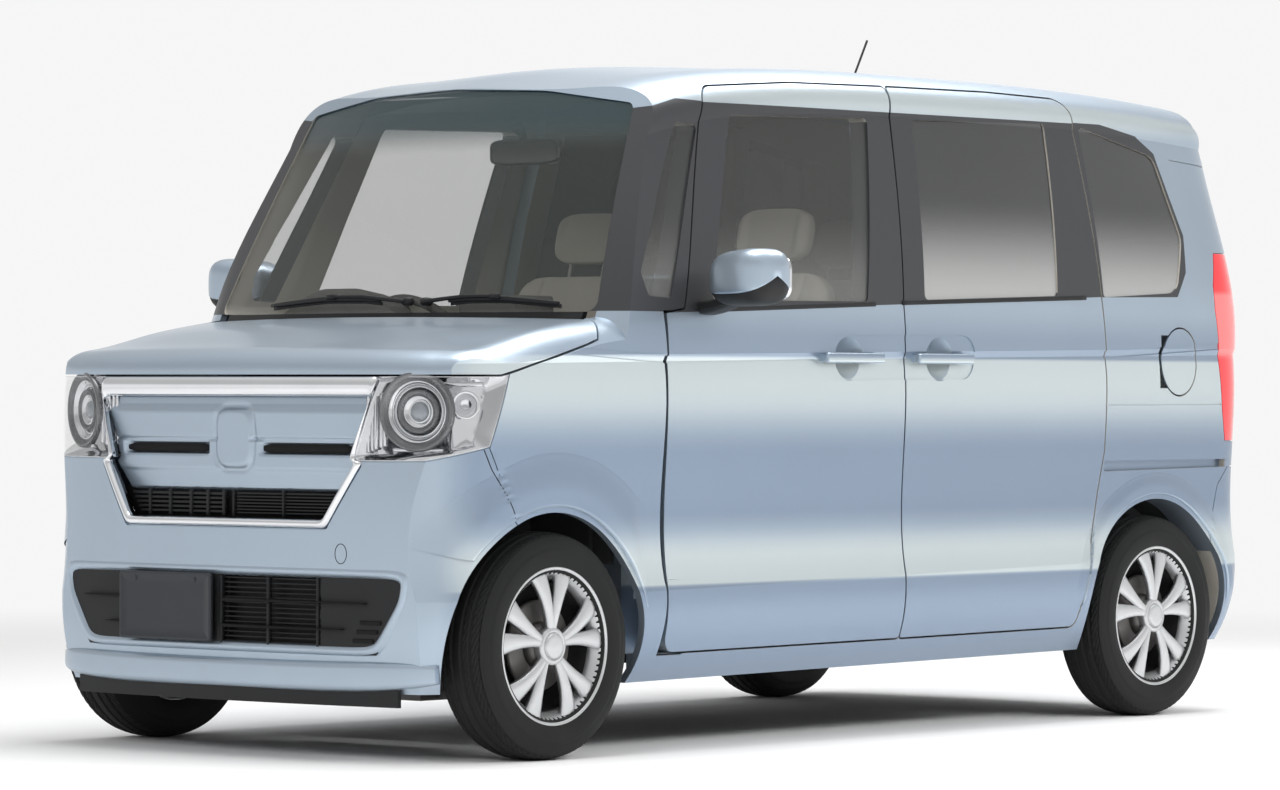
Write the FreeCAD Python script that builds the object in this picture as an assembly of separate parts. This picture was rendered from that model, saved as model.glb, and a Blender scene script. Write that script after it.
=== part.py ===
import FreeCAD, Part
import math
import os
from FreeCAD import Vector

# Driving dimensions of the car, mm
length = 3395.0
width = 1475.0
height = 1770.0
front_overhang = 420.0
wheelbase = 2520.0
track = 1305.0
tyre_width = 155.0
tyre_aspect_share = 0.65
rim_diameter = 355.6
arch_gap = 47.0
shut_gap = 5.0
running_gap = 0.05
rest_gap = 0.3
overrun = 60.0

# Depths below the outer skin, mm
skin_depth = 20.0
door_depth = 56.0
wall_depth = 62.0
frame_depth = 104.0
glass_outer_depth = 5.0
glass_inner_depth = 10.0

half_width = width / 2
nose = -length / 2
tail = length / 2
front_axle = nose + front_overhang
rear_axle = front_axle + wheelbase
tyre_radius = rim_diameter / 2 + tyre_width * tyre_aspect_share
arch_radius = tyre_radius + arch_gap
wheel_x = track / 2
across = Vector(1, 0, 0)
along = Vector(0, 1, 0)
upward = Vector(0, 0, 1)
origin = Vector(0, 0, 0)

# Half section from the sill to the roof's centre line: share of half width, share of height, rise per mm aft
flank_shares = [(0.922, 0.1045, 0.0095), (0.965, 0.1401, 0.0095), (1.0, 0.2362, 0.016), (0.979, 0.3136,
                                                                                         0.014),
                (0.9966, 0.4802, 0.012), (0.9912, 0.5565, 0.013), (1.0, 0.5667, 0.013), (0.9858, 0.6418,
                                                                                         0.03),
                (0.9356, 0.7825, 0.025)]
crown_shares = [(0.8678, 0.0814), (0.8298, 0.035), (0.7864, 0.0243), (0.5424, 0.0102), (0.0, 0.0)]
belt_place = 7
deep_places = [0, 2, 4, 7, 8]
deep_crown_shares = [(0.8678, 0.0814), (0.8136, 0.0294), (0.5424, 0.0102), (0.0, 0.0)]
front_corner_length = 300.0
front_corner_reach = 260.0
rear_corner_length = 140.0
rear_corner_reach = 125.0
corner_overlap = 30.0
mid_station_shares = [-0.389, -0.34, -0.28, -0.206, -0.103, 0.0, 0.103, 0.206, 0.31, 0.398]


def share_y(share):
    return share * length


def share_z(share):
    return share * height


def share_x(share):
    return share * half_width


roof_peak = share_y(0.0884)
roof_front_span = share_y(0.2209)
roof_rear_span = share_y(0.324)
roof_fall = share_z(0.0124)
roof_front_power = 3.2
roof_rear_power = 2.8
roof_front_limit = share_y(-0.2946)


def roofline(y):
    """Height of the roof's centre line at a station y."""
    ahead = max(roof_front_limit, min(y, roof_peak))
    behind = max(y, roof_peak)
    front = roof_fall * ((roof_peak - ahead) / roof_front_span) ** roof_front_power
    rear = roof_fall * ((behind - roof_peak) / roof_rear_span) ** roof_rear_power
    return height - front - rear


def upper_taper(y):
    """The glasshouse draws in a little towards both ends."""
    behind = max(0.0, y - share_y(0.1767)) / share_y(0.2946)
    ahead = min(1.0, max(0.0, share_y(-0.0589) - y) / share_y(0.1767))
    return 1 - 0.045 * behind ** 2 - 0.03 * ahead ** 2


def body_section(y, factor, inset):
    """One cross-section; a deep one leaves out the small forms of the skin."""
    deep = inset > skin_depth
    right = []
    for place, (x_share, z_share, rise) in enumerate(flank_shares):
        taper = upper_taper(y) if place > belt_place else 1.0
        if not deep or place in deep_places:
            right.append((share_x(x_share) * factor * taper, share_z(z_share) + rise * y))
    top = roofline(y)
    for x_share, drop_share in deep_crown_shares if deep else crown_shares:
        right.append((share_x(x_share) * factor * upper_taper(y), top - share_z(drop_share)))
    points = right + [(-x, z) for x, z in right[-2::-1]]
    if inset:
        points = inset_loop(points, inset)
    return [Vector(x, y, z) for x, z in points]


def inset_loop(points, inset):
    """Move a closed loop's points inwards along their mean normals, mitred at corners."""
    moved = []
    for i, (x, z) in enumerate(points):
        px, pz = points[i - 1]
        qx, qz = points[(i + 1) % len(points)]
        before = math.hypot(x - px, z - pz)
        after = math.hypot(qx - x, qz - z)
        n1 = (-(z - pz) / before, (x - px) / before)
        n2 = (-(qz - z) / after, (qx - x) / after)
        mitre = max(0.5, 1 + n1[0] * n2[0] + n1[1] * n2[1])
        moved.append((x + (n1[0] + n2[0]) / mitre * inset, z + (n1[1] + n2[1]) / mitre * inset))
    return moved


def smooth(points):
    line = Part.BSplineCurve()
    line.interpolate(points)
    return line.toShape()


def run_edge(points):
    if len(points) == 2:
        return Part.makeLine(points[0], points[1])
    return smooth(points)


def section_wire(points, deep):
    last = len(points) - 1
    half_cuts = list(range(last // 2)) if deep else [0, 2, 5, 6, 9]
    cuts = half_cuts + [last - c for c in reversed(half_cuts)]
    edges = [run_edge(points[a:b + 1]) for a, b in zip(cuts, cuts[1:])]
    edges.append(Part.makeLine(points[last], points[0]))
    return Part.Wire(edges)


def body_stations(inset):
    """Stations and width factors: both ends follow elliptic corners in plan."""
    found = []
    reach = front_corner_reach - inset
    start = nose + front_corner_length
    span = front_corner_length - inset
    found.append((start - span - corner_overlap, 1 - reach / half_width))
    for degrees in (90, 75, 60, 45, 30, 15):
        turn = math.radians(degrees)
        found.append((start - span * math.sin(turn), 1 - reach / half_width * (1 - math.cos(turn))))
    for share in mid_station_shares:
        found.append((share_y(share), 1.0))
    reach = rear_corner_reach - inset
    start = tail - rear_corner_length
    span = rear_corner_length - inset
    for degrees in (0, 18, 36, 54, 72, 90):
        turn = math.radians(degrees)
        found.append((start + span * math.sin(turn), 1 - reach / half_width * (1 - math.cos(turn))))
    found.append((start + span + corner_overlap, 1 - reach / half_width))
    return found


def body_tube(inset):
    deep = inset > skin_depth
    wires = [section_wire(body_section(y, factor, inset), deep) for y, factor in body_stations(inset)]
    return Part.makeLoft(wires, True, False)


# Side profile on the centre line: share of length from the middle, share of height
front_face_shares = [(-0.4831, 0.0565), (-0.4925, 0.113), (-0.4984, 0.1695), (-0.5, 0.2429),
                     (-0.4993, 0.339), (-0.4954, 0.4294), (-0.4895, 0.5085), (-0.4875, 0.5254)]
hood_shares = [(-0.4875, 0.5254), (-0.4866, 0.5452), (-0.4795, 0.5605), (-0.4624, 0.5706),
               (-0.4124, 0.5932), (-0.3446, 0.6158)]
deep_front_shares = [(-0.4831, 0.0565), (-0.5, 0.2429), (-0.4845, 0.5492)]
deep_rear_shares = [(0.4831, 1.0113), (0.4913, 0.8701), (0.5, 0.3955), (0.4772, 0.0565)]
deep_hood_shares = [(-0.4845, 0.5492), (-0.4124, 0.591), (-0.3446, 0.6158)]
shield_shares = [(-0.3446, 0.6158), (-0.2999, 0.7814), (-0.2489, 0.9548), (-0.2324, 1.0113)]
rear_face_shares = [(0.4831, 1.0113), (0.4875, 0.9689), (0.4913, 0.8701), (0.4954, 0.7345),
                    (0.4984, 0.6215), (0.5, 0.4237), (0.4999, 0.2825), (0.4954, 0.1808),
                    (0.4831, 0.113), (0.4772, 0.0565)]
bow_reference = share_x(0.8136)
front_bow = 20.0
rear_bow = 14.0
shield_bow = 97.0
shoulder_start = share_x(0.8814)
shoulder_reach = share_x(0.122)
shoulder_drop = 75.0
hood_crown = 6.0
deep_profile_place_shares = [-1.03, -0.88, -0.7, -0.45, 0.0, 0.45, 0.7, 0.88, 1.03]
profile_place_shares = [-1.03, -1.0, -0.95, -0.88, -0.76, -0.57, -0.3, 0.0, 0.3, 0.57, 0.76, 0.88, 0.95,
                        1.0, 1.03]


def shield_shift(x):
    return shield_bow * (x / bow_reference) ** 2


def profile_wire(x, inset):
    deep = inset > skin_depth
    bow = abs(x) / bow_reference
    front_shift = front_bow * (bow ** 2 + bow ** 6)
    rear_shift = rear_bow * (bow ** 2 + bow ** 6)
    shoulder_limit = 0.5 if deep else 0.9999
    shoulder = min(shoulder_limit, max(0.0, abs(x) - shoulder_start) / shoulder_reach)
    fall = hood_crown * bow ** 2 + shoulder_drop * (1 - math.sqrt(1 - shoulder ** 2))
    face_shares = deep_front_shares if deep else front_face_shares
    tail_shares = deep_rear_shares if deep else rear_face_shares
    face = [(share_y(y) + front_shift, share_z(z)) for y, z in face_shares]
    shares = deep_hood_shares if deep else hood_shares
    first, last = shares[0][0], shares[-1][0]
    hood = []
    for y, z in shares:
        aft = (y - first) / (last - first)
        shift = front_shift * (1 - aft) + shield_shift(x) * aft
        low = share_z(shares[0][1])
        hood.append((share_y(y) + shift, share_z(z) - fall * min(1.0, (share_z(z) - low) / shoulder_reach)))
    shield = [(share_y(y) + shield_shift(x), share_z(z)) for y, z in shield_shares]
    rear = [(share_y(y) - rear_shift, share_z(z)) for y, z in tail_shares]
    stretches = [face, hood, [hood[-1]] + shield[1:], [shield[-1], rear[0]], rear]
    points = list(face)
    marks = [0, len(points) - 1]
    for stretch in stretches[1:]:
        points += stretch[1:]
        marks.append(len(points) - 1)
    if inset:
        points = [(y, z) for y, z in inset_loop(points[::-1], inset)][::-1]
    places = [Vector(x, y, z) for y, z in points]
    if deep:
        marks = list(range(len(points)))
    edges = [run_edge(places[a:b + 1]) for a, b in zip(marks, marks[1:])]
    edges.append(Part.makeLine(places[-1], places[0]))
    return Part.Wire(edges)


def body_profile(inset):
    deep = inset > skin_depth
    shares = deep_profile_place_shares if deep else profile_place_shares
    return Part.makeLoft([profile_wire(share_x(s), inset) for s in shares], True, deep)


made_envelopes = {}


def envelope(depth):
    """The closed body shape, drawn in by a depth below the outer skin."""
    if depth not in made_envelopes:
        made_envelopes[depth] = body_tube(depth).common(body_profile(depth))
    return made_envelopes[depth]


def polygon_edges(points, radii):
    """A closed outline of straight runs, with an arc of the given radius at each corner."""
    count = len(points)
    trims = []
    for i, point in enumerate(points):
        to_last = (points[i - 1] - point).normalize()
        to_next = (points[(i + 1) % count] - point).normalize()
        turn = math.pi - to_last.getAngle(to_next)
        radius = radii[i] if isinstance(radii, list) else radii
        cut = radius * math.tan(turn / 2)
        if cut < running_gap:
            trims.append((point, point, None))
            continue
        start = point + to_last * cut
        end = point + to_next * cut
        inward = (to_last + to_next).normalize()
        centre = point + inward * (radius / math.cos(turn / 2))
        trims.append((start, end, centre - inward * radius))
    edges = []
    for i, (start, end, middle) in enumerate(trims):
        if middle is not None:
            edges.append(Part.Arc(start, middle, end).toShape())
        after = trims[(i + 1) % count][0]
        if end.distanceToPoint(after) > running_gap:
            edges.append(Part.makeLine(end, after))
    return edges


def grown(wire, amount):
    return wire.makeOffset2D(amount) if amount else wire


def side_outline(shares, radii=0.0, grow=0.0):
    """An outline seen from the side, from shares of length and height."""
    points = [Vector(0, share_y(y), share_z(z)) for y, z in shares]
    return grown(Part.Wire(polygon_edges(points, radii)), grow)


def front_outline(shares, radii=0.0, grow=0.0):
    """An outline seen from the front, from shares of half width and height."""
    points = [Vector(share_x(x), 0, share_z(z)) for x, z in shares]
    return grown(Part.Wire(polygon_edges(points, radii)), grow)


def prism(wire, direction, low, high):
    face = Part.Face(wire)
    face.translate(direction * low)
    return face.extrude(direction * (high - low))


def side_prism(wire, low=None, high=None):
    inner = share_x(0.4) if low is None else low
    outer = half_width + overrun if high is None else high
    return prism(wire, across, inner, outer)


def box(low, high):
    size = Vector(*high) - Vector(*low)
    return Part.makeBox(size.x, size.y, size.z, Vector(*low))


def mirrored(shape):
    return shape.mirror(origin, across)


def both(shape):
    return [shape, mirrored(shape)]


def tube_x(y, z, radius, low, high):
    return Part.makeCylinder(radius, high - low, Vector(low, y, z), across)


def layer(tool, outer_depth, inner_depth):
    """The part of a tool between two depths below the skin."""
    piece = tool.common(envelope(outer_depth)) if outer_depth is not None else tool
    return piece.cut(envelope(inner_depth))


def largest(shape, count=1):
    solids = sorted(shape.Solids, key=lambda s: -s.Volume)
    return solids[0] if count == 1 else Part.makeCompound(solids[:count])


def fused(shapes):
    shapes = list(shapes)
    return shapes[0].multiFuse(shapes[1:]) if len(shapes) > 1 else shapes[0]


nodes = {}


def keep(name, *shapes):
    solids = []
    for shape in shapes:
        solids += shape.Solids
    nodes[name] = Part.makeCompound(solids) if len(solids) > 1 else solids[0]


# Outlines seen from the side
door_front_shares = [(-0.2563, 0.139), (-0.2563, 0.6192), (-0.2348, 0.6249), (-0.1756, 0.9469),
                     (-0.0736, 0.9605), (0.0442, 0.9644), (0.0271, 0.6384), (0.0271, 0.1424)]
door_front_radii = [45.0, 6.0, 8.0, 60.0, 0.0, 16.0, 0.0, 12.0]
door_slide_shares = [(0.0271, 0.1424), (0.0271, 0.6384), (0.0442, 0.9644), (0.1767, 0.9672), (0.2822, 0.9638),
                     (0.2872, 0.6554), (0.2916, 0.5282), (0.2916, 0.4153), (0.2813, 0.326), (0.2636, 0.2147),
                     (0.2557, 0.1458)]
door_slide_radii = [12.0, 0.0, 16.0, 0.0, 70.0, 0.0, 0.0, 90.0, 120.0, 0.0, 30.0]
window_front_shares = [(-0.1508, 0.9062), (0.0127, 0.9136), (-0.0174, 0.6407), (-0.2032, 0.6384)]
window_rear_shares = [(0.0689, 0.9153), (0.2442, 0.9226), (0.2277, 0.6559), (0.0539, 0.6452)]
quarter_front_shares = [(-0.2106, 0.8927), (-0.1873, 0.8904), (-0.2492, 0.6395), (-0.2739, 0.6418),
                        (-0.2792, 0.6751)]
quarter_rear_shares = [(0.2916, 0.922), (0.3962, 0.8814), (0.413, 0.7514), (0.3932, 0.6655), (0.2901, 0.6554)]
quarter_rear_radii = [12.0, 50.0, 60.0, 60.0, 10.0]
window_radius = 14.0
side_region_shares = [(-0.3829, 0.6203), (-0.2563, 0.6203), (-0.2563, 0.0452), (0.5243, 0.0452),
                      (0.5243, 1.0452), (-0.3829, 1.0452)]
opening_lip = 42.0
side_wall_share = 0.8136
roof_edge_share = 0.7322
fender_shares = [(-0.4277, 0.5305), (-0.3455, 0.5706), (-0.3314, 0.5785), (-0.3196, 0.6102),
                 (-0.3196, 0.6203),
                 (-0.2563, 0.6203), (-0.2563, 0.0452), (-0.3682, 0.0452), (-0.4109, 0.3164), (-0.4183,
                                                                                              0.3322),
                 (-0.4433, 0.4322)]
bonnet_shares = [(-0.5243, 0.5271), (-0.4345, 0.5277), (-0.3455, 0.5706), (-0.3314, 0.5785),
                 (-0.3196, 0.6102),
                 (-0.3063, 0.6554), (-0.3063, 0.7345), (-0.5243, 0.7345)]
bumper_shares = [(-0.5243, 0.0452), (-0.3682, 0.0452), (-0.4109, 0.3164), (-0.4183, 0.3322),
                 (-0.4433, 0.4322),
                 (-0.4277, 0.5305), (-0.4345, 0.5277), (-0.5243, 0.5271)]
lamp_side_shares = [(-0.5243, 0.4096), (-0.4831, 0.413), (-0.4433, 0.4322), (-0.4277, 0.5305),
                    (-0.4345, 0.5277), (-0.5243, 0.5271)]
lamp_front_shares = [(0.5668, 0.413), (0.6454, 0.5311), (1.0847, 0.5424), (1.0847, 0.3955), (0.5668, 0.3955)]
rear_bumper_shares = [(0.4418, 0.0452), (0.5243, 0.0452), (0.5243, 0.3898), (0.4689, 0.3898),
                      (0.4542, 0.3616), (0.4418, 0.2825)]
tail_lamp_shares = [(0.456, 0.7299), (0.5243, 0.7299), (0.5243, 0.4322), (0.4619, 0.4322), (0.456, 0.4802),
                    (0.4459, 0.6384), (0.4471, 0.678)]
rail_slot_shares = [(0.2922, 0.3853), (0.4639, 0.3898), (0.4639, 0.4023), (0.2922, 0.4023)]

# Outlines seen from the front or the back
shield_front_shares = [(-0.8881, 0.6192), (0.8881, 0.6192), (0.758, 0.9186), (0.4068, 0.9401), (0.0, 0.9469),
                       (-0.4068, 0.9401), (-0.758, 0.9186)]
shield_front_radii = [25, 25, 25, 400, 400, 400, 25]
tailgate_shares = [(-0.8, 0.2655), (0.8, 0.2655), (0.8136, 0.565), (0.7946, 0.678), (0.7322, 0.8814),
                   (0.6847, 1.0452), (-0.6847, 1.0452), (-0.7322, 0.8814), (-0.7946, 0.678), (-0.8136, 0.565)]
tailgate_window_shares = [(-0.7051, 0.6384), (0.7051, 0.6384), (0.6373, 0.8983), (-0.6373, 0.8983)]
grille_outer_shares = [(-0.6508, 0.5271), (0.6508, 0.5271), (0.5749, 0.4153), (0.6129, 0.4102),
                       (0.4678, 0.3186),
                       (-0.4678, 0.3186), (-0.6129, 0.4102), (-0.5749, 0.4153)]
grille_face_shares = [(-0.6319, 0.5028), (0.6319, 0.5028), (0.5559, 0.4153), (0.5749, 0.4079),
                      (0.4529, 0.3322),
                      (-0.4529, 0.3322), (-0.5749, 0.4079), (-0.5559, 0.4153)]
lower_grille_shares = [(-0.7946, 0.2576), (0.7946, 0.2576), (0.7837, 0.2215), (0.678, 0.1514),
                       (-0.678, 0.1514), (-0.7837, 0.2215)]
cowl_edge_shares = [(-1.0712, -0.3093), (0.0, -0.3535), (1.0712, -0.3093)]

# Body shell
skin = envelope(0.0).cut(envelope(skin_depth))
shell = envelope(0.0).cut(envelope(frame_depth))
door_shell = envelope(0.0).cut(envelope(door_depth))
pane = envelope(glass_outer_depth).cut(envelope(glass_inner_depth))

shield_hole = prism(front_outline(shield_front_shares, shield_front_radii), along, nose, share_y(-0.1767))
tailgate_start = share_y(0.4418)
tailgate_radii = [30.0, 30.0] + [0.0] * 8
tailgate_zone = prism(front_outline(tailgate_shares, tailgate_radii), along, tailgate_start, tail + overrun)
tailgate_hole = prism(front_outline(tailgate_shares, tailgate_radii, shut_gap), along, tailgate_start,
                      tail + overrun)
rail_slot_round = 4.0
grille_round = 12.0
lower_round = 20.0
lamp_reach = share_y(-0.3829)
grille_reach = share_y(-0.4418)
tailgate_line = share_y(0.4704)
roof_half = share_x(roof_edge_share)
wall_half = share_x(side_wall_share)


def arch_cutter(axle, inner):
    return tube_x(axle, tyre_radius, arch_radius, inner, half_width + overrun)


front_liner_inner = 415.0
rear_liner_inner = 548.0
liner_wall = 8.0


def below_skin(tool, depth):
    """What a recess of this depth takes away."""
    return tool.cut(envelope(depth))


def body_side():
    side = shell.common(side_prism(side_outline(side_region_shares)))
    keep_zone = box((roof_half, nose, share_z(0.339)), (half_width + overrun, tail, height))
    low_zone = box((wall_half, nose, 0), (half_width + overrun, tail, share_z(0.339)))
    side = side.common(keep_zone.fuse(low_zone))
    for shares, radii in ((door_front_shares, door_front_radii), (door_slide_shares, door_slide_radii)):
        side = side.cut(below_skin(side_prism(side_outline(shares, radii, shut_gap / 2)), wall_depth))
        side = side.cut(side_prism(side_outline(shares, radii, -opening_lip)))
    side = side.cut(side_prism(side_outline(quarter_front_shares, window_radius)))
    side = side.cut(side_prism(side_outline(quarter_rear_shares, quarter_rear_radii)))
    side = side.cut(shield_hole)
    thinned = box((0, nose, share_z(0.6328)), (half_width, share_y(-0.1767), height))
    side = side.cut(thinned.common(envelope(wall_depth)))
    side = side.cut(arch_cutter(rear_axle, rear_liner_inner))
    side = side.cut(tailgate_hole)
    side = side.cut(box((0, tailgate_line - shut_gap, share_z(0.8814)), (roof_half + overrun, tail, height)))
    side = side.cut(below_skin(side_prism(side_outline(tail_lamp_shares), wall_half), door_depth))
    side = side.cut(below_skin(side_prism(side_outline(rear_bumper_shares)), skin_depth))
    side = side.cut(below_skin(side_prism(side_outline(rail_slot_shares, rail_slot_round)), skin_depth))
    return largest(side)


fuel_y = share_y(0.3932)
fuel_z = share_z(0.5565)
fuel_radius_y = 83.0
fuel_radius_z = 92.0
fuel_lid_depth = 5.0


def fuel_outline(grow=0.0):
    ring = Part.Ellipse(Vector(0, fuel_y, fuel_z + fuel_radius_z + grow),
                        Vector(0, fuel_y + fuel_radius_y + grow, fuel_z),
                        Vector(0, fuel_y, fuel_z))
    return Part.Wire(ring.toShape())


left_side = body_side()

# Shallow forms on the side: the waist crease, the handle recess and cups, and trim lines
crease_depth = 3.0
crease_width = 19.0
crease_shares = [(-0.3535, 0.5684), (-0.2568, 0.5582), (-0.0792, 0.565), (0.1178, 0.5684),
                 (0.2881, 0.5718), (0.4521, 0.5876)]
recess_shares = [(-0.0819, 0.5254), (0.1149, 0.5271), (0.1149, 0.5932), (-0.0819, 0.5904)]
recess_round = 54.0
line_width = 3.0
trim_line_shares = [(0.2901, 0.4893), (0.4536, 0.4904)]
pillar_line_shares = [(0.4206, 0.8791), (0.489, 0.8701)]
handle_places = [share_y(-0.0433), share_y(0.0698)]
handle_z = share_z(0.5576)
cup_radius = 62.0
cup_depth = 24.0
handle_length = 240.0
handle_tall = 27.0
handle_thick = 18.0
handle_stand = 9.0
handle_foot = 34.0
handle_foot_inset = 0.2 * handle_foot
handle_foot_tall = 0.7 * handle_tall
handle_round = 0.45 * handle_thick
seam_width = 3.0


def strip(shares, width):
    """A band of even height below a line seen from the side."""
    places = [Vector(0, share_y(y), share_z(z)) for y, z in shares]
    points = places + [p - Vector(0, 0, width) for p in places[::-1]]
    return side_prism(Part.makePolygon(points + points[:1]))


def shallow(tools, depth):
    """Tools reduced to what lies within this depth of the skin, for upright sides."""
    block = tools[0].multiFuse(tools[1:]) if len(tools) > 1 else tools[0]
    return block.cut(envelope(glass_outer_depth).translated(across * (glass_outer_depth - depth)))


def cup(y):
    radius = (cup_radius ** 2 + cup_depth ** 2) / (2 * cup_depth)
    return Part.makeSphere(radius, Vector(half_width + radius - cup_depth, y, handle_z))


def handle(y):
    start = y - handle_length / 2
    corner = Vector(half_width + handle_stand, start, handle_z - handle_tall / 2)
    bar = Part.makeBox(handle_thick, handle_length, handle_tall, corner)
    bar = bar.makeFillet(handle_round, bar.Edges)
    feet = []
    for foot_y in (start + handle_foot_inset, start + handle_length - handle_foot - handle_foot_inset):
        low = handle_z - handle_foot_tall / 2
        feet.append(box((half_width - skin_depth, foot_y, low),
                        (half_width + 2 * handle_stand, foot_y + handle_foot, low + handle_foot_tall)))
    return bar.multiFuse(feet)


side_marks = shallow([strip(crease_shares, crease_width), side_prism(side_outline(recess_shares,
                                                                                  recess_round)),
                      strip(trim_line_shares, line_width), strip(pillar_line_shares,
                                                                 line_width)], crease_depth)
left_side = largest(left_side.cut(side_marks))


def seam(panel, tool):
    """A narrow dark joint: the panel's edge set back where it meets its neighbour."""
    return panel.cut(tool.cut(envelope(glass_outer_depth)))


arch_front = arch_cutter(front_axle, front_liner_inner)
arch_rear = arch_cutter(rear_axle, rear_liner_inner)
fender = skin.common(side_prism(side_outline(fender_shares), share_x(0.8881)))

cowl_points = [Vector(share_x(x), share_y(y), 0) for x, y in cowl_edge_shares]


def cowl_zone(offset, far):
    """Plan area between the bonnet's bowed rear edge, moved aft by the offset, and a station."""
    shift = Vector(0, offset, 0)
    a, b, c = [p + shift for p in cowl_points]
    low, high = Vector(c.x, far, 0), Vector(a.x, far, 0)
    edges = [Part.Arc(a, b, c).toShape()]
    edges += [Part.makeLine(c, low), Part.makeLine(low, high), Part.makeLine(high, a)]
    return prism(Part.Wire(edges), upward, share_z(0.4802), share_z(0.7345))


bonnet_side = side_outline(bonnet_shares, 0.0, -shut_gap)
bonnet_zone = prism(bonnet_side, across, -half_width - overrun, half_width + overrun)
bonnet_block = bonnet_zone.common(cowl_zone(-shut_gap / 2, nose - overrun))
bonnet = skin.common(bonnet_block)
bonnet = largest(bonnet)

cowl = envelope(glass_outer_depth).cut(envelope(skin_depth)).common(cowl_zone(shut_gap / 2, share_y(-0.2651)))
cowl_box = box((-share_x(0.8881), nose, share_z(0.565)), (share_x(0.8881), share_y(-0.2651), share_z(0.6667)))
cowl = cowl.common(cowl_box).cut(shield_hole)
cowl = largest(cowl)

lamp_zone = prism(side_outline(lamp_side_shares), across, 0, half_width + overrun)
lamp_zone = lamp_zone.common(prism(front_outline(lamp_front_shares), along, nose - overrun, lamp_reach))
grille_zone = prism(front_outline(grille_outer_shares, grille_round), along, nose - overrun, grille_reach)
lamp = layer(lamp_zone, 0.0, door_depth).cut(grille_zone)
keep("headlamps", *both(largest(lamp)))
lamp_joint = prism(side_outline(lamp_side_shares, 0.0, seam_width), across, 0, half_width + overrun)
lamp_joint = lamp_joint.common(prism(front_outline(lamp_front_shares, 0.0, seam_width), along,
                                     nose - overrun, lamp_reach))
fender = seam(fender, lamp_joint).cut(side_marks)

grille_face = prism(front_outline(grille_face_shares, grille_round), along, nose - overrun, grille_reach)
lower_zone = prism(front_outline(lower_grille_shares, lower_round), along, nose - overrun, grille_reach)
bumper_zone = prism(side_outline(bumper_shares), across, -half_width - overrun, half_width + overrun)
undertray_end = share_y(-0.4418)
bumper = skin.common(bumper_zone)
bumper = bumper.cut(box((-front_liner_inner, undertray_end, 0), (front_liner_inner, front_axle + overrun,
                                                                 share_z(0.1695))))
for cutter in (lamp_zone, mirrored(lamp_zone), grille_zone, lower_zone, arch_front, mirrored(arch_front)):
    bumper = bumper.cut(cutter)
fender_joint = side_prism(side_outline(fender_shares, 0.0, seam_width), share_x(0.8881))
joints = [lamp_joint, fender_joint]
bumper = seam(bumper, joints[0].multiFuse([mirrored(joints[0]), joints[1], mirrored(joints[1])]))
bumper = seam(bumper, prism(front_outline(grille_outer_shares, grille_round, seam_width), along,
                            nose - overrun, grille_reach))
bumper = largest(bumper)
keep("front_bumper", bumper)

# Lip below the bumper
lip_half = share_x(0.7485)
lip_low = share_z(0.0774)
lip_high = share_z(0.1215)
lip_front = share_y(-0.4978)
lip_side = share_y(-0.4866)
lip_thick = 12.0


def lip_wall():
    rows = []
    for inset in (0.0, lip_thick):
        places = [Vector(-lip_half, lip_side + inset, lip_low), Vector(0, lip_front + inset, lip_low),
                  Vector(lip_half, lip_side + inset, lip_low)]
        rows.append(Part.Arc(*places).toShape())
    deep = lip_side + lip_thick
    ends = [Part.makeLine(Vector(x, lip_side, lip_low), Vector(x, deep, lip_low)) for x in (lip_half,
                                                                                            -lip_half)]
    wire = Part.Wire(Part.__sortEdges__(rows + ends))
    return Part.Face(wire).extrude(Vector(0, 0, lip_high - lip_low))


keep("lip_spoiler", largest(lip_wall().cut(bumper)))
keep("grille_chrome", largest(skin.common(grille_zone).cut(grille_face)))
slot_low = share_z(0.4249)
slot_high = share_z(0.4463)
panel_low = share_z(0.3814)
panel_zone = box((-half_width, nose - overrun, panel_low), (half_width, front_axle, height))
face_block = layer(grille_face, glass_outer_depth, skin_depth)
slot_x = share_x(0.3186)
slot_half = share_x(0.2237)
slots = [box((x - slot_half, nose - overrun, slot_low), (x + slot_half, front_axle,
                                                         slot_high)) for x in (-slot_x, slot_x)]
panel = face_block.common(panel_zone)
for slot in slots:
    panel = panel.cut(slot)
keep("grille_panel", largest(panel))
mesh = face_block.cut(panel_zone)
keep("grille_mesh", largest(mesh))
keep("lower_grille", largest(layer(lower_zone, glass_outer_depth, skin_depth)))

shield = pane.common(shield_hole)
keep("windshield", largest(shield))

rear_bumper = skin.common(prism(side_outline(rear_bumper_shares), across, -half_width - overrun,
                                half_width + overrun))
rear_bumper = rear_bumper.cut(tailgate_hole).cut(arch_rear).cut(mirrored(arch_rear))
rear_bumper = rear_bumper.cut(box((-wall_half, rear_axle, 0), (wall_half, share_y(0.4742), share_z(0.1695))))
rear_bumper = largest(rear_bumper)
keep("rear_bumper", rear_bumper)
left_side = seam(left_side, side_prism(side_outline(rear_bumper_shares, 0.0, seam_width)))
left_side = largest(seam(left_side, side_prism(side_outline(tail_lamp_shares, 0.0, seam_width), wall_half)))

tail_lamp = layer(side_prism(side_outline(tail_lamp_shares), wall_half), 0.0, door_depth).cut(tailgate_hole)
keep("tail_lamps", *both(largest(tail_lamp)))

tailgate = door_shell.common(tailgate_zone)
tailgate = tailgate.cut(box((-half_width, nose, share_z(0.8814)), (half_width, tailgate_line,
                                                                   height + overrun)))
tailgate_window_round = 2 * window_radius
tailgate_window = prism(front_outline(tailgate_window_shares, tailgate_window_round), along,
                        tailgate_start, tail + overrun)
keep("tailgate_glass", largest(pane.common(tailgate_window)))

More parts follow.
